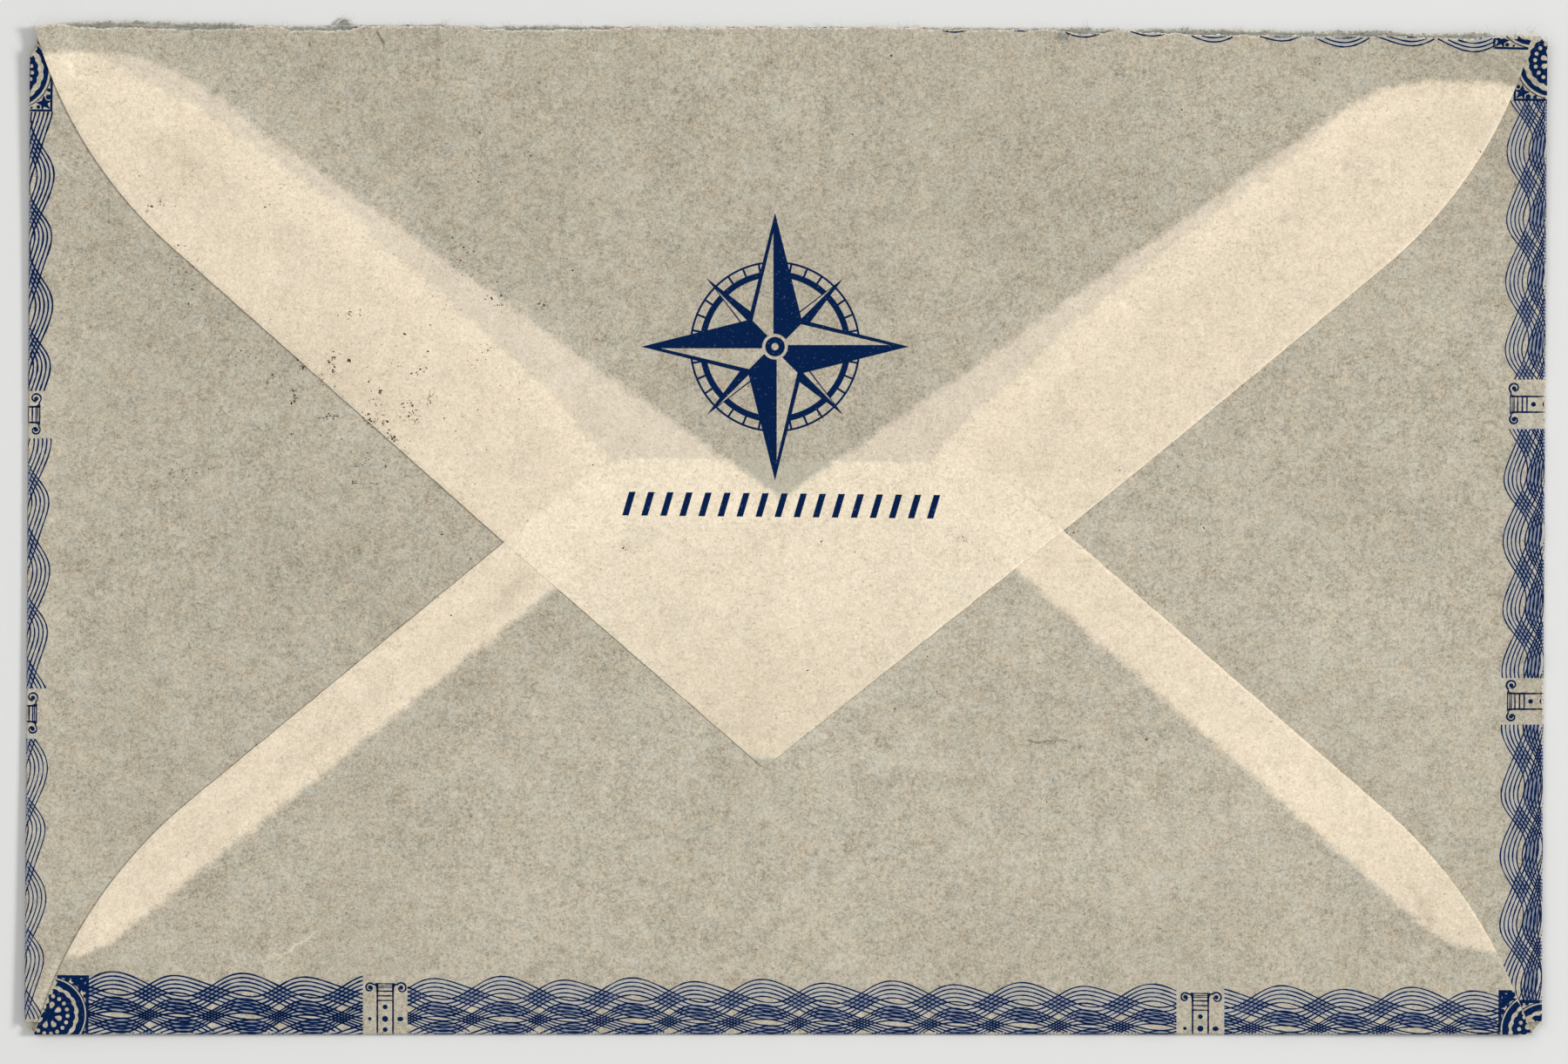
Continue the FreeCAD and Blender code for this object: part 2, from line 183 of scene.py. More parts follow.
def trace(corners, seed):
    """A closed outline through corners (x, y, radius, kind of the run that follows)."""
    places = np.array([corner[:2] for corner in corners], float)
    count = len(corners)
    entries, exits, arcs = [], [], []
    for i in range(count):
        before = places[i] - places[i - 1]
        after = places[(i + 1) % count] - places[i]
        before /= np.hypot(*before)
        after /= np.hypot(*after)
        radius = corners[i][2]
        if not radius:
            entries.append(places[i])
            exits.append(places[i])
            arcs.append(None)
            continue
        turn = math.atan2(before[0] * after[1] - before[1] * after[0], before @ after)
        reach = radius * math.tan(abs(turn) / 2)
        entries.append(places[i] - before * reach)
        exits.append(places[i] + after * reach)
        centre = entries[i] + np.array([-before[1], before[0]]) * math.copysign(radius, turn)
        steps = max(3, math.ceil(radius * abs(turn) / CUT_STEP))
        start = math.atan2(*(entries[i] - centre)[::-1])
        angles = start + turn * np.arange(1, steps) / steps
        arcs.append(centre + radius * pairs(np.cos(angles), np.sin(angles)))
    outline = []
    travelled = 0.0
    for i in range(count):
        if arcs[i] is not None:
            outline += [entries[i][None], arcs[i]]
        kind = corners[i][3]
        start, end = exits[i], entries[(i + 1) % count]
        length = np.hypot(*(end - start))
        step = {"fold": FOLD_STEP, "tear": TEAR_STEP}.get(kind, CUT_STEP)
        steps = max(1, math.ceil(length / step - 1e-6))
        shares = np.arange(steps) / steps
        run = start + np.outer(shares, end - start)
        across = np.array([end[1] - start[1], start[0] - end[0]]) / length
        fade = ramp(shares * length, 0.0, 0.15) * ramp((1 - shares) * length, 0.0, 0.15)
        if kind == "tear":
            rough = 0.04 * wander(travelled + shares * length, seed, 0.27, 4.0)
            rough += 0.028 * wander(travelled + shares * length, seed + 3, 0.27, 0.7, lean=0.0)
            run = run + np.outer(rough, across)
        elif kind == "cut":
            rough = 0.012 * wander(travelled + shares * length, seed + 1, 1.0, 6.0)
            run = run + np.outer(rough * fade, across)
        travelled += length
        outline.append(run)
    return np.concatenate(outline)


def inside(points, loop):
    """Whether each point is inside a closed loop."""
    result = np.zeros(len(points), bool)
    starts, ends = loop, np.roll(loop, -1, 0)
    for low in range(0, len(points), 4000):
        x, y = points[low:low + 4000, 0, None], points[low:low + 4000, 1, None]
        straddles = (starts[:, 1] > y) != (ends[:, 1] > y)
        rise = np.where(ends[:, 1] == starts[:, 1], 1e-12, ends[:, 1] - starts[:, 1])
        cross = starts[:, 0] + (y - starts[:, 1]) * (ends[:, 0] - starts[:, 0]) / rise
        result[low:low + 4000] = (straddles & (x < cross)).sum(1) % 2 == 1
    return result


def distance(points, line, closed=False):
    """Distance of each point from a polyline."""
    starts = line if closed else line[:-1]
    runs = (np.roll(line, -1, 0) if closed else line[1:]) - starts
    squares = np.maximum((runs ** 2).sum(1), 1e-12)
    result = np.empty(len(points))
    for low in range(0, len(points), 4000):
        offset = points[low:low + 4000, None] - starts
        share = np.clip((offset * runs).sum(2) / squares, 0, 1)
        gap = offset - share[..., None] * runs
        result[low:low + 4000] = np.sqrt((gap ** 2).sum(2).min(1))
    return result


def depth(points, loop):
    """Distance from a closed loop, counted positive inside it."""
    away = distance(points, loop, True)
    return np.where(inside(points, loop), away, -away)


def lanes(line, offsets, step=0.55, closed=True):
    """Points beside a line, in rows at the given offsets to its left."""
    path = np.concatenate([line, line[:1]]) if closed else line
    along = np.concatenate([[0], np.cumsum(np.hypot(*np.diff(path, axis=0).T))])
    spots = np.linspace(0, along[-1], max(2, int(along[-1] / step)))
    x, y = np.interp(spots, along, path[:, 0]), np.interp(spots, along, path[:, 1])
    heading = np.gradient(pairs(x, y), axis=0)
    heading /= np.maximum(np.hypot(*heading.T), 1e-9)[:, None]
    left = pairs(-heading[:, 1], heading[:, 0])
    return np.concatenate([pairs(x, y) + offset * left for offset in offsets])


def thin_out(points, spacing):
    """Drops points that crowd together."""
    keys = np.round(points / spacing).astype(np.int64)
    _, first = np.unique(keys, axis=0, return_index=True)
    return points[np.sort(first)]


def triangles(points, edges, loops, kind, gap):
    """Points joined into triangles that keep to the edges and fill the loops."""
    coords, _, faces, _, _, _ = delaunay_2d_cdt([Vector(p) for p in points], edges, loops, kind,
                                                gap)
    return np.array([(p.x, p.y) for p in coords]), np.array(faces)


def panel(outline, fine_rows, seed, cell=CELL):
    """Triangles that fill an outline: rows along edges and folds, and an even net elsewhere."""
    rng = np.random.default_rng(seed)
    low, high = outline.min(0), outline.max(0)
    across = np.arange(low[0], high[0], cell)
    up = np.arange(low[1], high[1], cell * 0.866)
    x, y = np.meshgrid(across, up)
    x[1::2] += cell / 2
    net = pairs(x.ravel(), y.ravel()) + rng.uniform(-0.08, 0.08, (x.size, 2)) * cell
    net = net[inside(net, outline)]
    rows = thin_out(fine_rows, 0.09)
    rows = rows[inside(rows, outline)]
    rows = rows[distance(rows, outline, True) > 0.08]
    crowded = np.floor(rows / 0.45).astype(np.int64)
    taken = {tuple(key) for key in crowded}
    keys = np.floor(net / 0.45).astype(np.int64)
    free = [all((i + a, j + b) not in taken for a in (-1, 0, 1) for b in (-1, 0, 1))
            for i, j in keys]
    net = net[np.array(free, bool)]
    net = net[distance(net, outline, True) > 0.4]
    return triangles(np.concatenate([outline, rows, net]), [], [list(range(len(outline)))], 1,
                     1e-7)


# ---------------------------------------------------------------------------
# Outlines of the sheet's parts
# ---------------------------------------------------------------------------
def torn_corners(tear, setback):
    """The slit edge as corners, from right to left."""
    return [(-WIDTH / 2 + WIDTH * share, SLIT - SLIT_FALL * share - TEAR * dip - setback, None,
             "tear") for share, dip in reversed(tear)]


def front_outline():
    """The front panel up to its folds."""
    left_top, right_top = FOLD_TOP[-1], FOLD_TOP[1]
    cut = left_top + CUT_UP
    corners = [(inset(-1, FOOT, NIP_ALONG), HEM, None, "fold"),
               (inset(1, FOOT, NIP_ALONG), HEM, None, "cut"),
               (inset(1, NIP, SIDE_REACH), NIP, None, "fold"),
               (inset(1, right_top, SIDE_REACH), right_top, None, "tear")]
    corners += torn_corners(FRONT_TEAR, 0)
    corners += [(inset(-1, cut, CUT_ALONG), cut, None, "cut"),
                (inset(-1, left_top, SIDE_REACH), left_top, None, "fold"),
                (inset(-1, NIP, SIDE_REACH), NIP, None, "cut")]
    return trace(corners, 11)


def side_flap_outline(side):
    """A side flap: heel, blunt tip, shoulder and spur."""
    spur_down, spur_width, shoulder_in, shoulder_down, shoulder_round = SIDE_FLAPS[side]
    fold_top, spur_top, shoulder = FOLD_TOP[side], SLIT - spur_down, SLIT - shoulder_down
    tip = TIPS_X + side * TIPS_GAP / 2
    heel_in, heel_up, heel_level = HEELS[side]
    heel, heel_end = FOOT + heel_up, FOOT + heel_up + HEEL_RISE
    corners = [
        (inset(side, NIP, SIDE_REACH), NIP, None),
        (inset(side, NIP, TOE), NIP, None),
        (inset(side, heel, heel_in), heel, HEEL_ROUND),
        (inset(side, heel_end, heel_in + heel_level), heel_end, HEEL_END_ROUND),
        (tip + side * TIP_FLAT[side], TIPS_Y - TIPS_HEIGHT, TIPS_ROUND),
        (tip, TIPS_Y - TIPS_HEIGHT, TIPS_ROUND),
        (tip, TIPS_Y, TIPS_ROUND),
        (inset(side, shoulder, shoulder_in), shoulder, shoulder_round),
        (inset(side, spur_top, spur_width), shoulder, SPUR_ROUND),
        (inset(side, spur_top, spur_width), spur_top, None),
        (inset(side, spur_top, CUT_ALONG), spur_top, None),
        (inset(side, fold_top, SIDE_REACH), fold_top, None)]
    kinds = ["cut"] * 9 + ["tear", "tear", "fold"]
    if side > 0:
        corners, kinds = corners[::-1], kinds[:-1][::-1] + kinds[-1:]
    return trace([(*corner, kind) for corner, kind in zip(corners, kinds, strict=True)],
                 20 + side)


def bottom_flap_outline():
    """The bottom flap: two swept shoulders and a flat top."""
    shoulder = FOOT + BOTTOM_SHOULDER_UP
    return trace([
        (inset(-1, FOOT, NIP_ALONG), HEM, None, "fold"),
        (inset(1, FOOT, NIP_ALONG), HEM, None, "cut"),
        (inset(1, shoulder, BOTTOM_SHOULDER_IN[1]), shoulder, BOTTOM_SHOULDER_ROUND, "cut"),
        (BOTTOM_FLAT[1], BOTTOM_TOP - BOTTOM_FALL / 2, BOTTOM_FLAT_ROUND, "cut"),
        (-BOTTOM_FLAT[-1], BOTTOM_TOP + BOTTOM_FALL / 2, BOTTOM_FLAT_ROUND, "cut"),
        (inset(-1, shoulder, BOTTOM_SHOULDER_IN[-1]), shoulder, BOTTOM_SHOULDER_ROUND, "cut"),
    ], 31)


def flap_shoulder(side, end, onward):
    """Corner of the round that follows a straight lead and runs on to the onward corner."""
    across, down = math.sin(FLAP_LEAD_LEAN), math.cos(FLAP_LEAD_LEAN)
    centre_x = end[0] - side * (FLAP_LEAD[side] * across + FLAP_SHOULDER_ROUND * down)
    centre_y = end[1] - FLAP_LEAD[side] * down + FLAP_SHOULDER_ROUND * across
    run_x, run_y = side * (centre_x - onward[0]), centre_y - onward[1]
    edge = math.atan2(run_y, run_x) - math.asin(FLAP_SHOULDER_ROUND / math.hypot(run_x, run_y))
    turn = QUARTER - FLAP_LEAD_LEAN - edge
    reach = FLAP_LEAD[side] + FLAP_SHOULDER_ROUND * math.tan(turn / 2)
    return end[0] - side * reach * across, end[1] - reach * down, FLAP_SHOULDER_ROUND, "cut"


def top_flap_outline():
    """The top flap: torn along the slit, round at the shoulders and bowed down to its point."""
    end_y = SLIT - FLAP_SETBACK
    left_end = (inset(-1, end_y, FLAP_END_IN[-1]), end_y)
    right_end = (inset(1, end_y, FLAP_END_IN[1]), end_y - SLIT_FALL)
    run_x, run_y = FLAP_POINT[0] - left_end[0], FLAP_POINT[1] - end_y
    out = BOW_OUT / math.hypot(run_x, run_y)
    bow = (left_end[0] + run_x * BOW_SHARE + run_y * out,
           end_y + run_y * BOW_SHARE - run_x * out)
    shoulder = flap_shoulder(1, right_end, FLAP_POINT)
    run_x, run_y = shoulder[0] - FLAP_POINT[0], shoulder[1] - FLAP_POINT[1]
    out = RIGHT_BOW_OUT / math.hypot(run_x, run_y)
    right_bow = (FLAP_POINT[0] + run_x * RIGHT_BOW_SHARE + run_y * out,
                 FLAP_POINT[1] + run_y * RIGHT_BOW_SHARE - run_x * out)
    corners = [(*left_end, None, "cut"), flap_shoulder(-1, left_end, bow),
               (*bow, BOW_ROUND, "cut"), (*FLAP_POINT, FLAP_POINT_ROUND, "cut"),
               (*right_bow, RIGHT_BOW_ROUND, "cut"),
               flap_shoulder(1, right_end, right_bow), (*right_end, None, "tear")]
    return trace(corners + torn_corners(FLAP_TEAR, FLAP_SETBACK), 41)


FRONT = front_outline()
SIDES = {side: side_flap_outline(side) for side in (-1, 1)}
BOTTOM = bottom_flap_outline()
TOP = top_flap_outline()
TOP_CUT = TOP[TOP[:, 1] < SLIT - 2.0]
BOTTOM_CUT = BOTTOM[BOTTOM[:, 1] > HEM + 0.05]
TOP_TORN = TOP[np.argmin(TOP[:, 1]):]
TOP_TORN = TOP_TORN[TOP_TORN[:, 1] > SLIT - 2.2]
FRONT_TORN = FRONT[FRONT[:, 1] > SLIT - 2.0]

# Inner edge of the gum on the top flap, from each end of the flap to its middle.
GUM_LINE = np.array([
    (-74.0, 47.2), (-70.0, 46.6), (-67.3, 46.3), (-65.6, 45.2), (-64.5, 44.5), (-61.8, 43.5),
    (-58.0, 41.5), (-53.3, 38.3), (-42.3, 30.7),
    (-34.3, 23.6), (-24.5, 14.9), (-20.5, 11.0), (-16.9, 6.6), (13.8, 6.2), (15.8, 8.8),
    (20.1, 12.95), (28.4, 20.5), (39.3, 28.8), (48.4, 35.5), (54.3, 40.7), (60.0, 43.7),
    (72.0, 44.0), (75.0, 44.0)])


def gum_depth(points):
    """Distance from the gum's inner edge, counted positive on the side that is gummed."""
    loop = np.concatenate([GUM_LINE, [(75.0, -60.0), (-75.0, -60.0)]])
    away = distance(points, GUM_LINE)
    return np.where(inside(points, loop), away, -away)


# Small creases: part, path, half width, height, how much paler the paper is along it: paler where
# bruised fibres whiten, darker (below 0) as painted shade in the valleys of creases and folds.
CREASES = [
    ("left", [(-68.2, 19.3), (-68.7, 17.1), (-69.3, 15.0)], 0.12, 0.025, 0.07),
    ("left", [(-72.6, -46.3), (-71.7, -44.2), (-71.05, -42.4), (-70.65, -41.4)], 0.3, 0.03, 0.12),
    # Short painted shadow lines beside the raised strip above.
    ("left", [(-71.0, -39.9), (-70.4, -41.8)], 0.1, -0.015, -0.12),
    ("left", [(-71.3, -40.0), (-71.6, -38.6)], 0.12, -0.015, -0.05),
    ("left", [(-71.0, 36.1), (-70.4, 35.7), (-69.9, 35.0)], 0.13, 0.02, 0.1),
    ("left", [(-71.3, 32.3), (-71.0, 32.0), (-70.6, 31.9)], 0.1, 0.02, 0.08),
    ("left", [(-60.0, 1.0), (-59.8, -0.4)], 0.09, 0.02, 0.09),
    ("bottom", [(-49.4, -41.4), (-48.3, -41.1), (-47.6, -40.3), (-46.6, -40.0), (-45.7, -39.1)],
     0.1, 0.02, 0.17),
    ("bottom", [(-51.2, -41.8), (-50.6, -42.6)], 0.08, 0.02, 0.08),
    ("bottom", [(-8.3, -38.0), (-8.6, -40.2), (-8.5, -42.8)], 0.15, 0.015, 0.04),
    # Painted shade in short dark creases on the bottom flap.
    ("bottom", [(23.6, -20.55), (24.3, -20.75), (25.4, -20.6), (27.1, -20.5)], 0.08, -0.02, -0.3),
    ("bottom", [(24.6, -20.8), (25.3, -20.95)], 0.08, -0.02, -0.2),
    ("bottom", [(43.0, -24.9), (45.5, -25.0)], 0.09, -0.01, -0.06),
    # Painted shade in two shallow folds of the bottom flap.
    ("bottom", [(15.0, -13.0), (18.6, -17.0), (21.5, -21.5)], 0.8, -0.03, -0.02),
    ("bottom", [(11.0, -17.0), (14.5, -20.6), (17.0, -25.0)], 0.7, -0.03, -0.015),
    ("top", [(-69.8, 48.4), (-69.7, 46.0), (-69.4, 44.2)], 0.4, 0.02, 0.06),
    # Painted shade in a fold running down from the slit.
    ("top", [(-33.9, 48.6), (-33.9, 43.4)], 0.25, -0.03, -0.06),
    ("top", [(-33.8, 43.2), (-33.9, 40.0)], 0.1, 0.02, 0.05),
    ("top", [(-31.0, 43.5), (-30.3, 38.0), (-32.0, 33.0)], 1.2, 0.03, 0.04),
    # Painted shade in a broad shallow fold.
    ("top", [(-35.0, 42.0), (-36.0, 36.0), (-34.5, 30.0)], 1.3, -0.03, -0.035),
    ("top", [(68.9, 46.5), (70.1, 45.3), (71.3, 44.1)], 0.09, 0.02, 0.11),
    ("top", [(32.8, 21.9), (33.0, 21.4)], 0.3, 0.02, 0.06),
    ("top", [(40.0, 19.8), (40.3, 19.3)], 0.3, 0.02, 0.05),
    ("top", [(58.0, 35.6), (59.3, 32.4), (60.2, 29.6)], 0.35, 0.02, 0.025),
    # Painted shade in small creases along the slit.
    ("top", [(-39.75, 48.3), (-39.2, 47.35)], 0.1, -0.02, -0.42),
    ("top", [(-38.9, 47.45), (-37.4, 47.9), (-35.8, 48.25), (-35.0, 48.8)], 0.05, -0.01, -0.07),
    ("top", [(-12.0, 48.4), (-9.5, 48.15), (-5.5, 48.1), (-1.5, 48.2)], 0.045, -0.01, -0.12),
    ("top", [(2.0, 48.1), (2.9, 47.7)], 0.06, -0.01, -0.2),
    ("right", [(70.2, 30.2), (71.0, 27.0)], 0.12, 0.015, 0.03),
]

# Soft marks, some of them painted shade where the paper folds gently: part, place, half length and
# height, lean, tone (paler above 0).
SMUDGES_AND_SHADE = [
    ("top", -57.6, 35.9, 3.6, 2.4, -38, -0.06),
    ("top", -15.5, -1.9, 0.5, 0.35, 0, -0.11),
    ("top", 17.1, -0.8, 0.5, 0.3, 20, -0.08),
    ("top", 4.1, -3.8, 0.5, 0.2, 10, -0.05),
    # Painted shade of a shallow fold left of the flap's point.
    ("top", -7.5, -19.2, 0.8, 1.2, 40, -0.04),
    ("top", 71.2, 43.6, 1.4, 2.2, 0, -0.04),
    ("top", -43.0, 14.0, 6.5, 3.2, -40, -0.07),
    ("top", -42.0, 42.0, 9.0, 6.0, 0, -0.03),
    ("top", -56.0, 47.0, 8.0, 3.0, 0, -0.04),
    ("top", -70.5, 47.6, 2.0, 1.2, 0, 0.02),
    ("top", 71.2, 45.7, 0.9, 0.9, 0, -0.05),
    ("top", 54.0, 46.5, 8.0, 2.5, 0, -0.035),
    ("top", 3.0, 26.0, 14.0, 12.0, 0, -0.03),
    ("top", 66.0, 41.0, 7.0, 5.0, 0, -0.025),
    ("left", -54.0, 1.0, 10.0, 17.0, 0, -0.03),
    ("left", -72.5, -4.0, 3.5, 30.0, 0, 0.03),
    ("left", -71.5, 15.0, 4.0, 10.0, 0, 0.035),
    ("left", -68.0, -29.0, 8.0, 7.0, 0, 0.025),
    ("right", 73.5, -17.0, 5.5, 17.0, 0, -0.05),
    ("right", 73.0, 39.0, 6.0, 7.0, 0, -0.06),
    ("right", 54.0, -11.0, 9.0, 9.0, 0, 0.055),
    ("right", 60.0, 13.0, 17.0, 9.0, 0, 0.03),
    ("bottom", 69.0, -37.0, 4.5, 9.0, 0, -0.03),
    ("bottom", -23.0, -13.0, 5.0, 5.0, 0, 0.02),
    ("bottom", 0.0, -37.0, 40.0, 7.0, 0, 0.02),
    ("bottom", -4.0, -24.0, 46.0, 19.0, 0, 0.033),
    ("bottom", 47.0, -26.0, 9.0, 7.0, 0, 0.03),
    ("bottom", 47.0, -37.0, 0.8, 0.4, 0, -0.07),
    ("bottom", -44.0, -19.3, 23.0, 1.0, 39, -0.03),
    ("bottom", -26.0, -5.6, 3.0, 0.9, 41, -0.08),
    ("bottom", 59.5, -34.4, 6.0, 1.0, -52, -0.03),
    ("bottom", 62.2, -36.8, 3.4, 0.4, -60, -0.09),
    # Painted shade along a shallow fold of the bottom flap.
    ("bottom", 20.5, -19.0, 7.0, 3.2, -48, -0.015),
]


def crease_lift(part, points):
    """Height and paleness that the creases of a part give its points."""
    lift, pale = np.zeros(len(points)), np.zeros(len(points))
    for owner, path, half, height, tone in CREASES:
        if owner == part:
            away = distance(points, np.array(path))
            shape = np.exp(-(away / half) ** 2)
            lift += height * shape
            pale += tone * shape
    for owner, x, y, long, high, lean, tone in SMUDGES_AND_SHADE:
        if owner == part:
            c, s = math.cos(math.radians(lean)), math.sin(math.radians(lean))
            u, v = points[:, 0] - x, points[:, 1] - y
            pale += tone * np.exp(-((u * c + v * s) / long) ** 2 - ((v * c - u * s) / high) ** 2)
    return lift, pale


def painted_rim_highlight(points, edge):
    """The paleness of a flap's rim on its right side: a painted highlight where the edge faces the
    light from the right.
    """
    near = 1 - ramp(distance(points, edge), 0.05, 0.3)
    return 0.035 * near * ramp(points[:, 0], 5.0, 15.0)


def crease_rows(part):
    """Rows of points along and beside a part's creases."""
    rows = [lanes(np.array(path), [half * k for k in (-1.8, -1.1, -0.5, 0, 0.5, 1.1, 1.8)], 0.3,
                  closed=False) for owner, path, half, _, _ in CREASES if owner == part]
    return np.concatenate(rows) if rows else np.empty((0, 2))


# ---------------------------------------------------------------------------
# Heights of the layers
# ---------------------------------------------------------------------------
def lie(x, y):
    """How the whole envelope lies: a little uneven, its corners slightly raised."""
    corner = np.abs(x / 74) ** 2.6 * np.abs(y / 49) ** 2.2
    raised = np.where(x > 0, 0.75, 0.45) * np.where(y > 0, 1.2, 0.8)
    return 0.10 + corner * raised + 0.035 * swell(x, y, 5, 45, 150)


def loft(x, y):
    """How far the flaps stand off the front panel beyond their fold height."""
    from_folds = ramp(np.minimum(x - fold_line(-1, y), fold_line(1, y) - x), 0.3, 9.0)
    from_hem = ramp(y - FOOT, 0.3, 8.0)
    return from_folds * from_hem * (0.06 + 0.022 * swell(x, y, 8, 9, 42))


def over_sides(points):
    """How far in from a side flap's edge each point is."""
    return np.maximum(depth(points, SIDES[-1]), depth(points, SIDES[1]))


# Where the paper climbs on to a layer beneath, as distances from that layer's edge.
RISE = (-1.1, -0.06)


def edge_curl(edge, rim=0.04):
    """A flap's free edge stands off a little, and its very rim turns down."""
    return 0.085 * (1 - ramp(edge, 0.3, 3.5)) - rim * (1 - ramp(edge, 0.0, 0.32))


def bottom_extra(points, on_sides):
    """Height of the bottom flap beyond its layer: down beside the side flaps, free at its edge."""
    edge = distance(points, BOTTOM_CUT)
    from_hem = ramp(points[:, 1] - FOOT, 0.3, 4.0)
    held = mix(-0.045, 0.0, ramp(on_sides, *RISE))
    free = 1 - ramp(depth(points, TOP), -1.2, 0.6)
    return from_hem * (held + free * edge_curl(edge))


def top_extra(points, on_sides, on_bottom):
    """Height of the top flap beyond its layer; left of its point it is pressed down."""
    edge = distance(points, TOP_CUT)
    over = ramp(on_bottom, *RISE)
    low = mix(-0.16, -0.075, ramp(on_sides, *RISE))
    pressed = over * ramp(FLAP_POINT[0] + 1.0 - points[:, 0], 0.0, 3.0)
    held = mix(low, mix(0.03, -0.032, pressed), over)
    rim = np.where(points[:, 0] > FLAP_POINT[0], 0.055, 0.035)
    free = ramp(edge, 10.0, 22.0) * 0.05 * swell(points[:, 0], points[:, 1], 9, 14, 60)
    curl = mix(1.0, mix(0.35, 0.04, pressed), over)
    return held + curl * edge_curl(edge, rim) + free * (1 - over)


# ---------------------------------------------------------------------------
# Building the paper
# ---------------------------------------------------------------------------
class Paper:
    """One sheet as its middle surface, which is then given its thickness."""

    def __init__(self):
        self.points, self.faces, self.parts = [], [], []
        self.values = {name: [] for name in BARE}
        self.count = 0

    def add(self, part, points, faces, **values):
        """Adds a part's middle surface, with the values that differ from bare paper."""
        self.points.append(points)
        self.faces.append(np.asarray(faces) + self.count)
        self.parts.append(np.full(len(faces), part, object))
        for name, column in self.values.items():
            column.append(np.broadcast_to(values.get(name, BARE[name]), (len(points),)))
        self.count += len(points)

    def weld(self):
        """Joins the parts where they share an edge."""
        points, faces = np.concatenate(self.points), np.concatenate(self.faces)
        _, first, same = np.unique(np.round(points * 2e3).astype(np.int64), axis=0,
                                   return_index=True, return_inverse=True)
        self.values = {n: np.concatenate(v)[first] for n, v in self.values.items()}
        faces = same.ravel()[faces]
        whole = (faces[:, 0] != faces[:, 1]) & (faces[:, 1] != faces[:, 2]) & (
            faces[:, 2] != faces[:, 0])
        self.points, self.faces = points[first], faces[whole]
        self.parts = np.concatenate(self.parts)[whole]

    def normals(self):
        """Way out of the sheet at each point."""
        a, b, c = (self.points[self.faces[:, i]] for i in range(3))
        face_normals = np.cross(b - a, c - a)
        total = np.zeros_like(self.points)
        for i in range(3):
            np.add.at(total, self.faces[:, i], face_normals)
        return total / np.maximum(np.linalg.norm(total, axis=1), 1e-12)[:, None]

    def skins(self):
        """Outer and inner skin and the cut edges between them."""
        normals = self.normals()
        outer = self.points + normals * PAPER / 2
        inner = self.points - normals * PAPER / 2
        count = len(self.points)
        sides = np.concatenate([self.faces[:, [i, (i + 1) % 3]] for i in range(3)])
        keys = np.sort(sides, 1)
        _, index, uses = np.unique(keys, axis=0, return_inverse=True, return_counts=True)
        border = sides[uses[index.ravel()] == 1]
        faces = self.faces.tolist() + (self.faces[:, ::-1] + count).tolist()
        faces += [[b, a, a + count, b + count] for a, b in border.tolist()]
        return np.concatenate([outer, inner]), faces


def make_mesh(name, points, faces):
    """A mesh from millimetres."""
    mesh = bpy.data.meshes.new(name)
    mesh.from_pydata((np.asarray(points) * MM).tolist(), [], faces)
    mesh.update()
    return mesh


def make_piece(name, mesh, material, replaced=()):
    """A piece of the envelope that stands for the nodes it replaces."""
    piece = bpy.data.objects.new(name, mesh)
    bpy.context.scene.collection.objects.link(piece)
    mesh.materials.append(material)
    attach(piece, "root")
    if replaced:
        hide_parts(*replaced)


def add_value(mesh, name, values):
    """A number at each point, for the paper's material."""
    mesh.attributes.new(name, "FLOAT", "POINT").data.foreach_set(
        "value", np.asarray(values, np.float32))


def placed(points, level, lift):
    """Flat points raised to the middle of their layer."""
    return np.column_stack([points, level + PAPER / 2 + lie(points[:, 0], points[:, 1]) + lift])


def fold_strip(ends, side, reach, across):
    """The rolled fold between the front panel and a flap, as points and triangles."""
    radius = reach - PAPER / 2
    rings = []
    for angle in np.linspace(-QUARTER, QUARTER, FOLD_TURNS + 1):
        ring = ends.copy()
        ring[:, across] += side * radius * math.cos(angle)
        height = reach + radius * math.sin(angle) + lie(ends[:, 0], ends[:, 1])
        rings.append(np.column_stack([ring, height]))
    count = len(ends)
    faces = []
    for turn in range(FOLD_TURNS):
        for i in range(count - 1):
            a, b = turn * count + i, turn * count + i + 1
            c, d = a + count, b + count
            faces += [(a, c, b), (b, c, d)]
    return np.concatenate(rings), np.array(faces)


def fold_run(start, end):
    """The line of a fold, in even steps."""
    count = math.ceil(math.dist(start, end) / FOLD_STEP - 1e-6)
    shares = np.arange(count + 1)[:, None] / count
    return np.array(start) + shares * (np.array(end) - np.array(start))


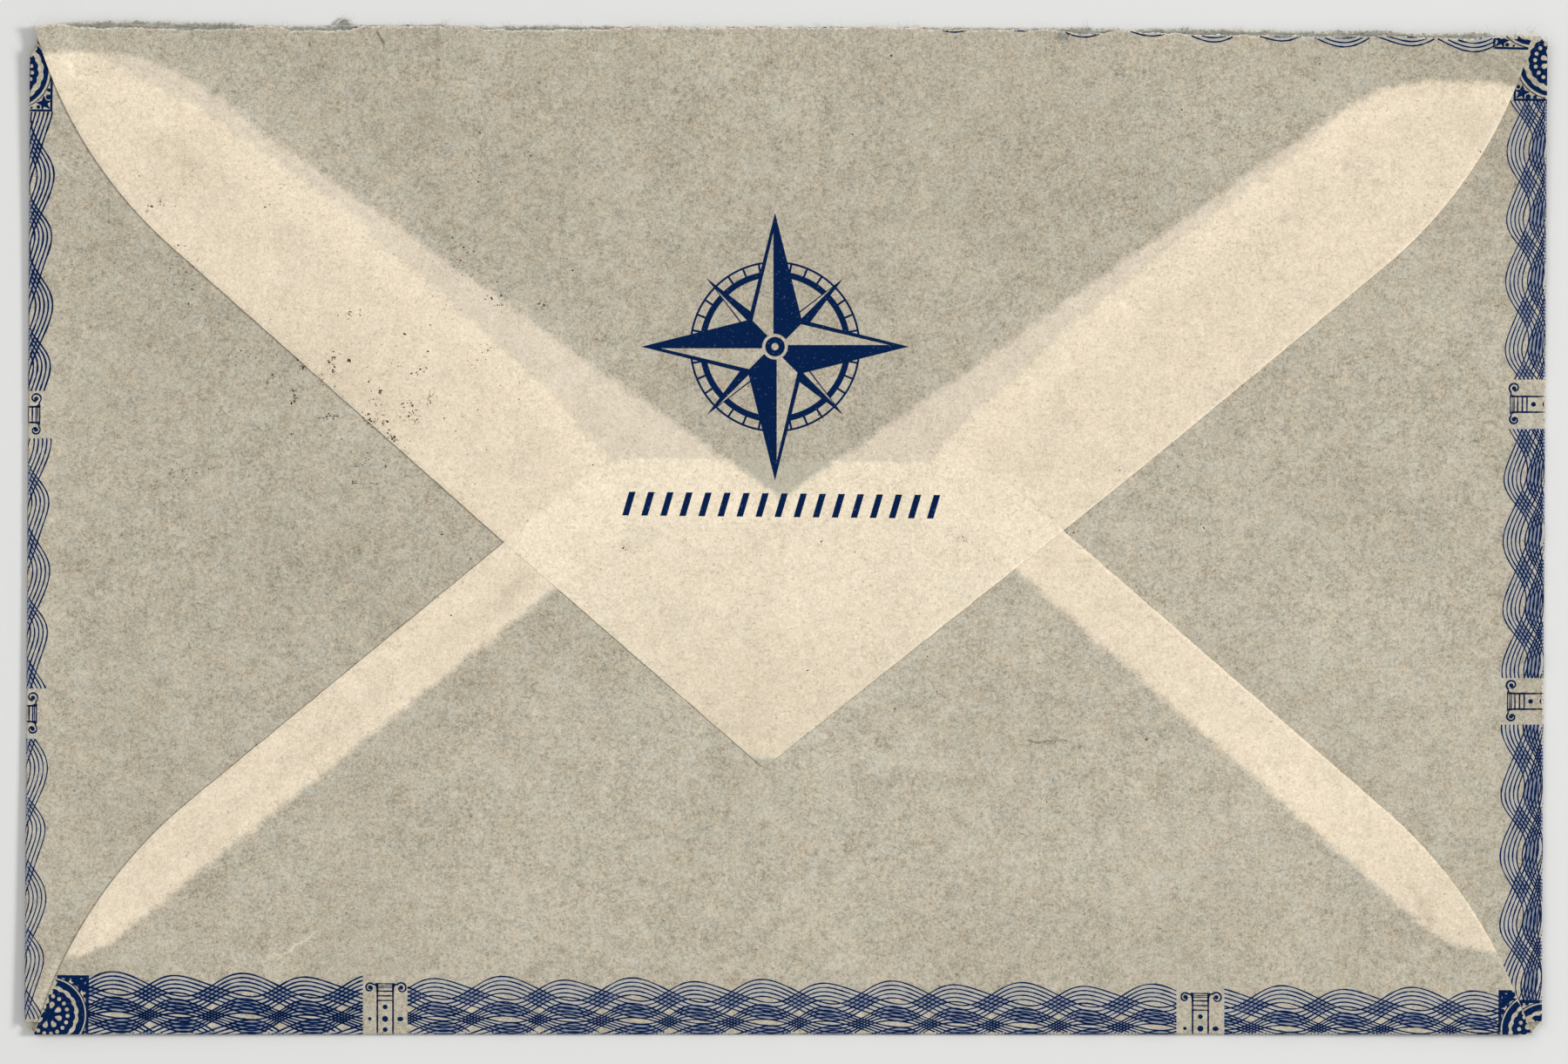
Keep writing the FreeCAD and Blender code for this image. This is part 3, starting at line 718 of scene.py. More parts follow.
def build_envelope_paper():
    """The folded sheet: front panel, side flaps, bottom flap and the folds between them."""
    paper = Paper()
    rows = lanes(FRONT_TORN, (*TEAR_ROWS, 0.5), 0.22, closed=False)
    points, faces = panel(FRONT, rows, 1, 2.2)
    from_tear = distance(points, FRONT_TORN)
    paper.add("front", placed(points, 0.0, 0.0), faces[:, ::-1],
              thin=1 - ramp(from_tear, 1.5, 3.0), torn=1 - ramp(from_tear, 0.02, 0.2))

    for side, name in ((-1, "left"), (1, "right")):
        outline = SIDES[side]
        rows = np.concatenate([lanes(outline, [0.15, 0.35], 0.7), crease_rows(name)])
        points, faces = panel(outline, rows, 2 + side)
        lift, pale = crease_lift(name, points)
        fold = [(inset(side, NIP, SIDE_REACH), NIP),
                (inset(side, FOLD_TOP[side], SIDE_REACH), FOLD_TOP[side])]
        lift += loft(points[:, 0], points[:, 1])
        paper.add(name, placed(points, SIDE_LEVEL, lift), faces, pale=pale)
        ring, strip = fold_strip(fold_run(*fold), side, SIDE_REACH, 0)
        paper.add(name + "_fold", ring, strip if side < 0 else strip[:, ::-1])

    rows = [lanes(BOTTOM_CUT, CUT_ROWS, 0.5, closed=False), crease_rows("bottom")]
    rows += [lanes(SIDES[side], UNDER_ROWS, 0.6) for side in (-1, 1)]
    points, faces = panel(BOTTOM, np.concatenate(rows), 5)
    on_sides = over_sides(points)
    lift, pale = crease_lift("bottom", points)
    lift += loft(points[:, 0], points[:, 1]) + bottom_extra(points, on_sides)
    # Painted highlight along the bottom flap's right rim.
    pale += painted_rim_highlight(points, BOTTOM_CUT)
    heel = np.where(points[:, 0] < 0, HEELS[-1][1], HEELS[1][1]) + FOOT
    paper.add("bottom", placed(points, BOTTOM_LEVEL, lift), faces,
              on_sides=np.minimum(on_sides, points[:, 1] - heel + 0.15), gum=FAR, pale=pale)
    hem = fold_run((inset(-1, FOOT, NIP_ALONG), HEM), (inset(1, FOOT, NIP_ALONG), HEM))
    ring, strip = fold_strip(hem, -1, BOTTOM_REACH, 1)
    paper.add("bottom_fold", ring, strip[:, ::-1])
    return paper


def build_flap_paper():
    """The pointed top flap, parted from the sheet by the slit."""
    paper = Paper()
    rows = [lanes(TOP_CUT, CUT_ROWS, 0.5, closed=False), crease_rows("top"),
            lanes(TOP_TORN, (*TEAR_ROWS, 0.45), 0.22, closed=False)]
    rows += [lanes(edge, UNDER_ROWS, 0.6) for edge in (BOTTOM, SIDES[-1], SIDES[1])]
    points, faces = panel(TOP, np.concatenate(rows), 6)
    on_sides, on_bottom = over_sides(points), depth(points, BOTTOM)
    lift, pale = crease_lift("top", points)
    lift += loft(points[:, 0], points[:, 1]) + top_extra(points, on_sides, on_bottom)
    # Painted highlight along the top flap's right rim.
    pale += painted_rim_highlight(points, TOP_CUT)
    torn = 1 - ramp(distance(points, TOP_TORN), 0.02, 0.2)
    # The spurs are not gummed, so they are left out of what shows through.
    shown = np.where(points[:, 0] > fold_line(1, 0) - SIDE_FLAPS[1][1] - 0.4,
                     np.minimum(on_sides, SLIT - 6.3 - points[:, 1]), on_sides)
    shown = np.where(points[:, 0] < fold_line(-1, 0) + SIDE_FLAPS[-1][1] + 0.6,
                     np.minimum(on_sides, SLIT - 3.0 - points[:, 1]), shown)
    paper.add("top", placed(points, TOP_LEVEL, lift), faces, on_sides=shown,
              on_bottom=on_bottom, gum=gum_depth(points), torn=torn, pale=pale)
    return paper


def bend_tongue(material):
    """A torn bit of the front panel that is bent over on to the flap."""
    outline = fine_loop(np.array([
        (26.25, 48.35), (26.3, 47.75), (26.55, 47.35), (27.05, 47.2), (27.45, 47.45),
        (27.7, 47.95), (27.65, 48.4), (27.0, 48.2)]), 0.15)
    points, faces = panel(outline, lanes(outline, [0.1], 0.15), 7, 0.25)
    from_rim = distance(points, outline, True)
    laid = rest_on("top", points, 0.04)
    laid[:, 2] = np.nanmean(laid[:, 2]) + 0.02 * swell(points[:, 0], points[:, 1], 3, 0.8, 3.0)
    paper = Paper()
    paper.add("tongue", laid, faces, thin=1.0, torn=1 - ramp(from_rim, 0.0, 0.1))
    finish_paper(paper, "bent_tongue", material, None)


SURFACES = {}  # the outer skin of each part, for the print to rest on


def finish_paper(paper, name, material, node):
    """Welds a sheet, gives it its thickness and makes it a piece."""
    paper.weld()
    points, faces = paper.skins()
    mesh = make_mesh(name, points, faces)
    for value, column in paper.values.items():
        outer = np.zeros_like(column) if value == "thin" and node else column
        add_value(mesh, value, np.concatenate([outer, column]))
    mesh.polygons.foreach_set("use_smooth", np.ones(len(mesh.polygons), bool))
    mesh.set_sharp_from_angle(angle=math.radians(50))
    make_piece(name, mesh, material, [node] if node else [])
    skin = points[:len(paper.points)]
    for part in set(paper.parts):
        own = paper.faces[paper.parts == part]
        SURFACES[part] = BVHTree.FromPolygons(skin.tolist(), own.tolist())


def rest_on(part, points, clearance=INK_LIFT):
    """Points laid on a part's outer skin. Those beside it come back as nan."""
    tree = SURFACES[part]
    start, way = (-5.0, 1.0) if part == "front" else (5.0, -1.0)
    result = np.full((len(points), 3), np.nan)
    for i, (x, y) in enumerate(points):
        hit = tree.ray_cast(Vector((x, y, start)), Vector((0, 0, way)))[0]
        if hit is not None:
            result[i] = x, y, hit.z - way * clearance
    return result


# ---------------------------------------------------------------------------
# Printing: shapes are drawn on the flat sheet, then laid on the folded one
# ---------------------------------------------------------------------------
def on_fold(side, along, past, clearance=INK_LIFT):
    """A place on the sheet by its position along a fold and its distance past the fold."""
    reach = BOTTOM_REACH if side == 0 else SIDE_REACH
    part = {0: "bottom", -1: "left", 1: "right"}[side]
    along, past = np.asarray(along, float), np.asarray(past, float)
    quarter = QUARTER * reach
    angle = np.clip(past / reach, -QUARTER, QUARTER)
    inward = np.where(np.abs(past) < quarter, reach - (reach + clearance) * np.cos(angle),
                      reach + np.abs(past) - quarter)
    if side == 0:
        x, y = along, FOOT + inward
        centre = pairs(x, np.full_like(x, HEM))
    else:
        y = along
        x = fold_line(side, y) - side * inward
        centre = pairs(fold_line(side, y) - side * reach, y)
    height = reach + (reach + clearance) * np.sin(angle) + lie(centre[:, 0], centre[:, 1])
    result = np.column_stack([x, y, height])
    flat = pairs(x, y)
    for here, name in ((past >= quarter, part), (past <= -quarter, "front")):
        if here.any():
            result[here] = rest_on(name, flat[here], clearance)
    if side == 0:
        gone = (x < inset(-1, FOOT, NIP_ALONG)) | (x > inset(1, FOOT, NIP_ALONG))
    else:
        gone = (y < NIP) | (y > FOLD_TOP[side])
    result[gone & (np.abs(past) < quarter)] = np.nan
    return result


class Print:
    """Ink shapes gathered into one mesh."""

    def __init__(self):
        self.points, self.faces, self.count = [], [], 0

    def add(self, points, faces):
        """Keeps the faces that lie on the paper."""
        good = ~np.isnan(points).any(1)
        faces = [face for face in faces if all(good[i] for i in face)]
        used = sorted({i for face in faces for i in face})
        if not used:
            return
        place = {old: new + self.count for new, old in enumerate(used)}
        self.points.append(points[used])
        self.faces += [[place[i] for i in face] for face in faces]
        self.count += len(used)

    def line(self, path, width, lay, seed=0):
        """A printed line of about a width, three points across so that it can follow a fold."""
        heading = np.gradient(path, axis=0)
        heading /= np.maximum(np.hypot(*heading.T), 1e-9)[:, None]
        left = pairs(-heading[:, 1], heading[:, 0])
        steps = np.hypot(*np.diff(path, axis=0).T)
        length = np.concatenate([[0], np.cumsum(steps)])
        half = width / 2 * (1 + 0.14 * wander(length, seed + 90, 0.5, 5.0, 12, 0.3))
        half = np.clip(half, width * 0.3, width * 0.8)[:, None]
        rows = np.concatenate([path + left * half, path, path - left * half])
        count = len(path)
        faces = [(i + count, i + count + 1, i + 1, i)
                 for step in range(count - 1) for i in (step, step + count)]
        self.add(lay(rows[:, 0], rows[:, 1]), faces)

    def lines(self, family, width, lay, seed):
        """A family of lines, each rough in its own way."""
        for number, path in enumerate(family):
            self.line(path, width, lay, seed + number)

    def shape(self, loops, lay, cell=0.55, extra=()):
        """Loops painted in order, as ink or as bare paper."""
        loops = [(ink, fine_loop(np.asarray(loop), cell * 0.8)) for ink, loop in loops]
        points, edges = [], []
        for _, loop in loops:
            first = len(points)
            points += [tuple(p) for p in loop]
            edges += [(first + i, first + (i + 1) % len(loop)) for i in range(len(loop))]
        every = np.array(points)
        low, high = every.min(0), every.max(0)
        x, y = np.meshgrid(np.arange(low[0], high[0], cell), np.arange(low[1], high[1], cell))
        net = [pairs(x.ravel(), y.ravel())] + ([extra] if len(extra) else [])
        flat, faces = triangles(np.concatenate([every, *net]), edges, [], 0, 1e-6)
        middles = flat[faces].mean(1)
        inked = np.zeros(len(faces), bool)
        for ink, loop in loops:
            inked[inside(middles, np.asarray(loop))] = ink
        self.add(lay(flat[:, 0], flat[:, 1]), faces[inked].tolist())

    def finish(self, name, material, slot):
        """Makes the ink a piece."""
        mesh = make_mesh(name, np.concatenate(self.points), self.faces)
        make_piece(name, mesh, material)


def fine_loop(loop, longest):
    """A closed loop with points put in, so that no edge is longer than asked."""
    result = []
    for start, end in zip(loop, np.roll(loop, -1, 0)):
        count = max(1, math.ceil(np.hypot(*(end - start)) / longest))
        result.append(start + np.arange(count)[:, None] / count * (end - start))
    return np.concatenate(result)


def circle(x, y, radius, count=24):
    """A ring of points."""
    angles = np.arange(count) * 2 * math.pi / count
    return pairs(x + radius * np.cos(angles), y + radius * np.sin(angles))


def box_loop(x0, y0, x1, y1):
    """A rectangle between two corners."""
    return np.array([(x0, y0), (x1, y0), (x1, y1), (x0, y1)], float)


# The interlaced border: two woven bands of lines at each edge and a closer one in the middle.
BAND, PERIOD = 8.4, 12.62


def border_families(start, stop, crest, lean, drop, spacing=0.41, weave=2.45):
    """The border's families of five lines between two places, as (along, depth) paths."""
    along = np.linspace(start, stop, max(3, int(abs(stop - start) / 0.33)))
    turn = 2 * math.pi * (along - crest) / PERIOD
    families = []
    for first, half, gap, pinch, second in (
            (0.0, 1.15, spacing, 0.0, False), (drop, 1.272 - drop, spacing, 0.0, True),
            (weave, 0.96, 0.35, 0.1, False), (weave + 0.12, 0.96, 0.35, 0.1, True)):
        phase = turn + math.pi if second else turn
        phase = phase + (0.30 if second else 0.15) * lean * np.cos(phase)
        middle = first + 2 * gap + half * (1 - np.cos(phase))
        family = [pairs(along, middle + (k - 2) * (gap - pinch * np.sin(phase) ** 2))
                  for k in range(5)]
        families.append(family)
        if first < 1:
            families.append([(0, BAND) + line * (1, -1) for line in family[::-1]])
    return families


def tone_paper(name, part, families, along, rows, lay, deep, light, material):
    """The paper between close lines, which takes some of their ink."""
    u, v = (side.ravel() for side in np.meshgrid(along, rows))
    below, cover = deep(u, v), np.zeros(len(u))
    for family in families:
        upper, lower = (np.interp(u, line[:, 0], line[:, 1]) for line in (family[0], family[-1]))
        within = (u >= family[0][0, 0]) & (u <= family[0][-1, 0])
        cover += within * ramp(below, upper - 0.1, upper + 0.05) * (
            1 - ramp(below, lower - 0.05, lower + 0.1))
    tone = light * np.minimum(cover, 1) + np.clip(cover - 1, 0, 1)
    laid = lay(u, v)
    corner = np.arange(len(rows) - 1)[:, None] * len(along) + np.arange(len(along) - 1)
    quads = np.stack([corner, corner + 1, corner + 1 + len(along), corner + len(along)], -1)
    quads = quads.reshape(-1, 4)
    quads = quads[tone[quads].max(1) > 0.02]
    net = Print()
    net.add(np.column_stack([laid, tone, crease_lift(part, laid[:, :2])[1]]),
            (quads[:, ::-1] if part == "left" else quads).tolist())
    points = np.concatenate(net.points)
    mesh = make_mesh(name, points[:, :3], net.faces)
    for value, column in (("tone", points[:, 3]), ("pale", points[:, 4]), ("on_sides", -FAR),
                          ("on_bottom", -FAR), ("gum", -FAR)):
        add_value(mesh, value, np.broadcast_to(column, len(points)))
    mesh.polygons.foreach_set("use_smooth", np.ones(len(mesh.polygons), bool))
    make_piece(name, mesh, material)


def draw_column(ink, middle, lay, seed):
    """A column in a clear field: a scrolled capital at each end and dots between."""
    def across(half, deep):
        return pairs(np.linspace(-half, half, 13), np.full(13, deep))

    for mirror in (False, True):
        def put(u, v, mirror=mirror):
            return lay(middle + u, BAND - v if mirror else v)

        for deep, width, half in ((0.85, 0.12, 0.95), (1.04, 0.08, 0.8), (1.21, 0.11, 0.76),
                                  (1.57, 0.14, 0.75), (2.02, 0.14, 0.75), (2.47, 0.13, 0.75)):
            ink.line(across(half, deep), width, put, seed + round(deep * 10))
        for side, spot, start in ((-1, 1.46, 0.4), (1, 1.55, 0.46)):
            turn = np.linspace(-0.75, 1.0, 22)
            radius = start - 0.2 * ramp(turn, 0.2, 1.0)
            curl = pairs(spot + radius * np.cos(turn * math.pi),
                         1.2 + radius * np.sin(turn * math.pi))
            stem = [(0.76, 1.6), (0.78, 1.3), (0.84, 1.08), (0.97, 0.93)]
            ink.line(np.concatenate([stem, curl]) * (side, 1), 0.16, put, seed + 50)
            ink.shape([(True, circle(side * spot, 1.2, 0.22, 10))], put)
            shaft = pairs(np.full(20, side * 0.76), np.linspace(0.85, 4.2, 20))
            ink.line(shaft, 0.17, put, seed + 9)
        ink.shape([(True, circle(0.0, 3.1, 0.24, 10))], put)
    for spot, wide, high in ((-1.5, 0.17, 0.17), (0.0, 0.3, 0.3), (1.47, 0.3, 0.23)):
        ink.shape([(True, circle(0, 0, 1.0, 12) * (wide, high) + (spot, 4.26))],
                  lambda u, v: lay(middle + u, v))


def scalloped(radius, swing, start=0.0):
    """A ring with a scalloped edge."""
    angles = np.arange(120) * 2 * math.pi / 120
    return circle(0, 0, radius + swing * np.abs(np.sin(SCALLOPS / 2 * (angles + start))), 120)


def turned(loop, angle):
    """A loop turned about the middle."""
    c, s = math.cos(angle), math.sin(angle)
    return loop @ np.array([(c, s), (-s, c)])


SCALLOPS, PETALS = 18, 8


def rosette_loops(spread=0.0):
    """A rosette in a square frame: petals, a ring of beads and two scalloped rings.

    The spread is how far the ink has run, which thickens the frame and the rings.
    """
    loops = [(True, box_loop(-3.87, -3.87, 3.87, 3.87)),
             (False, box_loop(-3.64 + spread, -3.64 + spread, 3.64 - spread, 3.64 - spread))]
    leaf = np.array([(0.0, 0.62), (0.18, 0.2), (0.55, 0.28), (0.28, -0.05), (0.42, -0.5),
                     (0.0, -0.28), (-0.42, -0.5), (-0.28, -0.05), (-0.55, 0.28), (-0.18, 0.2)])
    for k in range(4):
        angle = QUARTER / 2 + k * QUARTER
        spot = np.array([math.cos(angle), math.sin(angle)]) * 4.33
        loops.append((True, turned(leaf, angle - QUARTER) * (1.25 + 3 * spread) + spot))
        for x, y, radius in ((3.47, 2.45, 0.27), (3.5, 1.78, 0.2), (2.5, 3.42, 0.2),
                             (1.85, 3.5, 0.12), (3.5, 3.5, 0.1)):
            loops.append((True, turned(circle(x, y, radius + spread, 8), angle - QUARTER / 2)))
    loops += [(True, circle(0, 0, 3.74, 60)), (False, circle(0, 0, 3.64, 60)),
              (True, circle(0, 0, 3.42 + spread, 60)), (False, scalloped(2.88 - spread, 0.12)),
              (True, scalloped(2.36 + spread, 0.14, 0.1))]
    bead = circle(0, 0, 1.0, 10) * (0.2, 0.195) + (1.84, 0)
    loops += [(False, turned(bead, 0.05 + k * 2 * math.pi / SCALLOPS)) for k in range(SCALLOPS)]
    petal = np.array([(0.62, 0.0), (0.8, 0.15), (1.05, 0.26), (1.25, 0.21), (1.33, 0.0),
                      (1.25, -0.21), (1.05, -0.26), (0.8, -0.15)])
    loops += [(False, turned(petal, 0.3 + k * 2 * math.pi / PETALS)) for k in range(PETALS)]
    return loops


def shifted(loops, x, y, tilt=0.0):
    """Loops tilted and moved."""
    return [(ink, turned(np.asarray(loop), tilt) + (x, y)) for ink, loop in loops]


# Each run of the border: how far past the fold its inner edge is and how that slopes, lean and
# drop of its waves, its ends, the clear fields of its columns, a crest of the waves in each
# stretch, line widths, set of the columns, spacing of the lines, depth of the middle weave and
# tone between the lines.
BORDER_RUNS = {
    0: SimpleNamespace(
        name="bottom", edge=5.44, slope=-0.0119, lean=1.0, drop=0.291, ends=(-67.75, 69.25),
        fields=[(-41.1, -36.75), (37.95, 42.6)], crests=[-27.23] * 3,
        widths=(0.165, 0.135, 0.135), column=0.0, spacing=0.41, weave=2.45, light=0.7),
    -1: SimpleNamespace(
        name="left", edge=2.32, slope=0.0056, lean=-1.5, drop=0.16, ends=(-48.6, 40.5),
        fields=[(-20.4, -15.5), (8.8, 13.4)], crests=[-36.32, -4.56, 21.25],
        widths=(0.12, 0.14, 0.17), column=0.28, spacing=0.41, weave=2.73, light=0.5),
    1: SimpleNamespace(
        name="right", edge=4.1, slope=-0.004, lean=1.1, drop=0.03, ends=(-45.8, 41.7),
        fields=[(-19.0, -14.5), (9.7, 14.5)], crests=[-31.5, -0.87, 24.36],
        widths=(0.13, 0.13, 0.12), column=-0.28, spacing=0.4, weave=2.12, light=0.7),
}
TONE_CELL = 0.17


def draw_borders(material, paper):
    """The border along the bottom and the two sides, on the back, round the folds and in front."""
    for side, run in BORDER_RUNS.items():
        ink, every = Print(), []
        reach = BOTTOM_REACH if side == 0 else SIDE_REACH

        def lay(along, deep, side=side, run=run):
            return on_fold(side, along, run.edge + run.slope * along - deep)

        starts = [run.ends[0], run.fields[0][1], run.fields[1][1]]
        stops = [run.fields[0][0], run.fields[1][0], run.ends[1]]
        seed = 100 * (side + 2)
        for start, stop, crest, width in zip(starts, stops, run.crests, run.widths, strict=True):
            families = border_families(start, stop, crest, run.lean, run.drop, run.spacing,
                                       run.weave)
            every += families
            for family in families:
                ink.lines(family, width, lay, seed)
                seed += len(family)
        for start, stop in run.fields:
            draw_column(ink, (start + stop) / 2, lambda u, v: lay(u, v + run.column), seed)
        ink.finish(run.name + "_border_print", material, "sheet_paper")
        rows = np.concatenate([
            np.arange(run.edge - BAND - 1.0, -1.7 * reach, TONE_CELL),
            np.linspace(-QUARTER, QUARTER, FOLD_TURNS + 1) * reach,
            np.arange(1.7 * reach, run.edge + 1.0, TONE_CELL)])
        tone_paper(run.name + "_border_tone", run.name, every, np.arange(*run.ends, 0.3), rows,
                   lambda u, v: on_fold(side, u, v, TONE_LIFT),
                   lambda u, v: run.edge + run.slope * u - v, run.light, paper)


# Corner rosettes: side, place along its fold, distance past the fold and spread of the ink.
ROSETTES = ((0, -71.6, 2.05, 0.08), (0, 73.06, 0.55, 0.08), (-1, 44.42, -1.5, 0.0),
            (1, 45.4, -0.54, 0.0), (1, -49.62, -0.25, 0.08))


def draw_corners(material):
    """Corner rosettes where the border's runs meet."""
    ink = Print()

    def bend(reach, low, high, upright):
        """Points round a fold, so that a shape that crosses it can follow."""
        angles = np.linspace(-QUARTER, QUARTER, FOLD_TURNS + 1)
        along, past = np.meshgrid(np.arange(low, high, 0.2), angles * reach)
        pair = [past.ravel(), along.ravel()] if upright else [along.ravel(), past.ravel()]
        return np.stack(pair, 1)

    for side, along, past, spread in ROSETTES:
        reach = BOTTOM_REACH if side == 0 else SIDE_REACH
        own_front = side == 0 or along > 0

        def over(x, y, side=side, reach=reach, own_front=own_front):
            along, past = (x, -y) if side == 0 else (y, side * x)
            laid = on_fold(side, along, past)
            if not own_front:
                laid[past < -QUARTER * reach] = np.nan
            return laid

        x, y = (along, -past) if side == 0 else (side * past, along)
        ink.shape(shifted(rosette_loops(spread), x, y, 0.01), over, 0.4,
                  bend(reach, along - 4.0, along + 4.0, side != 0))
    ink.finish("corner_print", material, "sheet_paper")


def draw_front_top_border(material):
    """The border's top run, which the slit left on the front panel."""
    ink = Print()

    def lay(along, deep):
        height = SLIT + 0.1 - SLIT_FALL * (along / WIDTH + 0.5) + 1.6 + 0.0105 * (along - 20)
        return rest_on("front", pairs(along, height - deep))

    for family in border_families(-67.9, 69.2, -27.0, -1.0, 0.29):
        ink.lines(family, 0.15, lay, 700)
    ink.finish("front_top_border_print", material, "sheet_paper")


def draw_flap_border(material, paper):
    """The little of the border that runs on to the top flap."""
    ink = Print()

    def lay(along, deep, clearance=INK_LIFT):
        height = 48.25 - 0.0379 * (along - 16.1)
        return rest_on("top", pairs(along, height + deep), clearance)

    families = [family for family in border_families(-5.0, 68.95, 41.2, -1.0, 0.35)[::2]
                if family[0][:, 1].min() < 1.0]
    for family in families:
        ink.lines(family, 0.15, lay, 900)
    ink.shape(shifted(rosette_loops(), 72.65, 50.35, -0.03),
              lambda x, y: rest_on("top", pairs(x, y)), 0.4)
    ink.finish("flap_border_print", material, "flap_paper")
    tone_paper("flap_border_tone", "top", families, np.arange(-5.0, 68.9, 0.3),
               np.arange(-0.15, 4.0, TONE_CELL), lambda u, v: lay(u, v, TONE_LIFT),
               lambda u, v: v, 0.7, paper)


EMBLEM = (-1.05, 17.7)


def draw_emblem(material):
    """A plain wind rose, and a row of slanted bars below it."""
    ink = Print()

    def lay(x, y):
        return rest_on("top", pairs(x + EMBLEM[0], y + EMBLEM[1]))

    loops = [(True, circle(0, 0, 8.3, 96)), (False, circle(0, 0, 8.1, 96)),
             (True, circle(0, 0, 7.35, 96)), (False, circle(0, 0, 6.75, 96))]
    tick = box_loop(7.3, -0.1, 8.15, 0.1)
    loops += [(True, turned(tick, k * math.pi / 16)) for k in range(32)]
    # The four short points, then the four long ones: waist, half width, tip and bare half.
    for start, waist, half, tip, bare in (
            (QUARTER / 2, 1.9, 1.05, 9.4, [(0.35, 0.12), (1.9, 0.88), (8.0, 0.12)]),
            (0.0, 2.6, 2.6, 13.0, [(0.5, 0.16), (2.52, 2.18), (11.1, 0.16)])):
        dark = np.array([(0, 0), (waist, -half), (tip, 0.0)])
        outline = np.append(dark, [(waist, half)], 0)
        for k in range(4):
            angle = start + k * QUARTER
            loops += [(True, turned(outline, angle)), (False, turned(np.array(bare), angle)),
                      (True, turned(dark, angle))]
    loops += [(False, circle(0, 0, 1.25, 32)), (True, circle(0, 0, 0.95, 32)),
              (False, circle(0, 0, 0.35, 16))]
    ink.shape(loops, lay, 0.35)

    def lay_bars(x, y):
        return rest_on("top", pairs(x, y - 0.0105 * x))

    bar = np.array([(-15.9, 1.15), (-15.28, 1.15), (-14.6, 3.45), (-15.22, 3.45)])
    ink.shape([(True, bar + (1.85 * k, 0.0)) for k in range(17)], lay_bars, 0.6)
    ink.finish("emblem_print", material, "flap_paper")


# ---------------------------------------------------------------------------
# Specks and fibres
# ---------------------------------------------------------------------------
def scatter_specks(material):
    """Dried ink specks, thickest near the left edge of the top flap."""
    rng = np.random.default_rng(61)
    clusters = [  # middle, spread and number
        (-39.7, 10.8, 0.8, 0.6, 30), (-36.7, 11.3, 1.0, 0.8, 26), (-38.3, 9.2, 0.5, 0.4, 13),
        (-34.8, 12.8, 0.6, 0.5, 8), (-44.2, 15.0, 0.5, 0.7, 14), (-43.9, 16.8, 0.3, 0.2, 4),
        (-47.0, 16.0, 0.5, 0.3, 8), (-47.9, 12.6, 0.3, 0.5, 12), (-44.2, 11.0, 0.6, 0.4, 10),
        (-50.3, 14.3, 0.3, 0.4, 7), (-39.2, 13.3, 0.25, 0.35, 7), (-42.4, 16.4, 0.1, 0.1, 6),
        (-38.9, 6.1, 0.1, 0.1, 2), (-42.2, 4.6, 0.5, 0.2, 5), (-40.0, 4.3, 0.3, 0.1, 4),
        (-37.0, 18.9, 0.1, 0.1, 2), (-36.8, 15.9, 1.2, 0.6, 6), (-47.9, 9.2, 0.2, 0.1, 3),
        (-42.0, 20.6, 1.8, 0.6, 9), (-31.5, 24.6, 2.0, 1.7, 18),
        (-28.6, 22.6, 0.9, 0.8, 8), (-23.8, 21.6, 0.5, 1.0, 7), (-28.8, 34.0, 2.2, 2.2, 14),
        (-24.5, 38.0, 1.0, 1.2, 4), (-31.2, 16.4, 1.2, 1.6, 8), (-61.6, 31.3, 0.5, 0.3, 4),
        (-60.5, 28.0, 2.0, 3.0, 10), (-57.5, 22.0, 2.5, 4.0, 12), (-58.5, 5.8, 2.4, 0.8, 10),
        (-51.5, 15.5, 1.2, 1.6, 7), (-50.3, 32.6, 1.6, 1.2, 5), (-37.5, 7.5, 1.8, 1.4, 10),
        (-20.5, 27.0, 1.5, 2.5, 4), (-35.0, 18.0, 8.0, 8.0, 40), (0.0, 8.0, 60.0, 34.0, 60),
        (27.3, -0.4, 0.3, 0.3, 2), (40.6, 0.1, 0.3, 0.3, 1), (14.7, -15.8, 0.2, 0.2, 1),
        (-15.4, -1.9, 0.4, 0.2, 2), (17.2, -0.8, 0.5, 0.3, 4), (25.2, -20.6, 0.8, 0.1, 3)]
    blots = [(-42.4, 16.4, 0.3), (-48.1, 12.2, 0.2), (-39.4, 13.4, 0.17), (-40.4, 10.6, 0.19),
             (-38.0, 8.9, 0.18), (-47.4, 16.4, 0.2), (-38.9, 6.1, 0.16), (-37.0, 18.9, 0.13),
             (-61.6, 31.3, 0.2), (-28.6, 22.4, 0.18), (-24.0, 21.9, 0.16), (27.3, -0.4, 0.14),
             (40.6, 0.1, 0.14), (14.7, -15.8, 0.13)]  # place and size of the larger ones
    points, faces, count = [], [], 0
    for x0, y0, wide, high, number in clusters + [(x, y, 0.0, 0.0, size) for x, y, size in blots]:
        knots = rng.normal(0, 0.8, (max(2, int(number) // 4), 2))
        for _ in range(max(1, round(1.8 * number))):
            knot = knots[int(rng.integers(len(knots)))]
            x, y = (knot + rng.normal(0, 0.42, 2)) * (wide, high) + (x0, y0)
            size = min(0.035 * rng.pareto(2.2) + 0.06, 0.15) if wide else number
            sides = int(rng.integers(7, 11))
            angles = np.sort(rng.uniform(0, 2 * math.pi, sides))
            reach = size * rng.uniform(0.5, 1.2, sides)
            flatness = rng.uniform(0.4, 1.0)
            loop = pairs(reach * np.cos(angles), flatness * reach * np.sin(angles))
            loop = turned(loop, rng.uniform(0, math.pi)) + (x, y)
            spot = np.array([(x, y)])
            part = next((name for name, outline in (("top", TOP), ("bottom", BOTTOM),
                                                    ("left", SIDES[-1]), ("right", SIDES[1]))
                         if depth(spot, outline)[0] > 0.02), None)
            if part is None:
                continue
            laid = rest_on(part, np.concatenate([spot, loop]), SPECK_LIFT)
            if np.isnan(laid).any():
                continue
            points.append(laid)
            faces += [(count, count + 1 + i, count + 1 + (i + 1) % sides) for i in range(sides)]
            count += sides + 1
    make_piece("ink_specks", make_mesh("ink_specks", np.concatenate(points), faces), material)


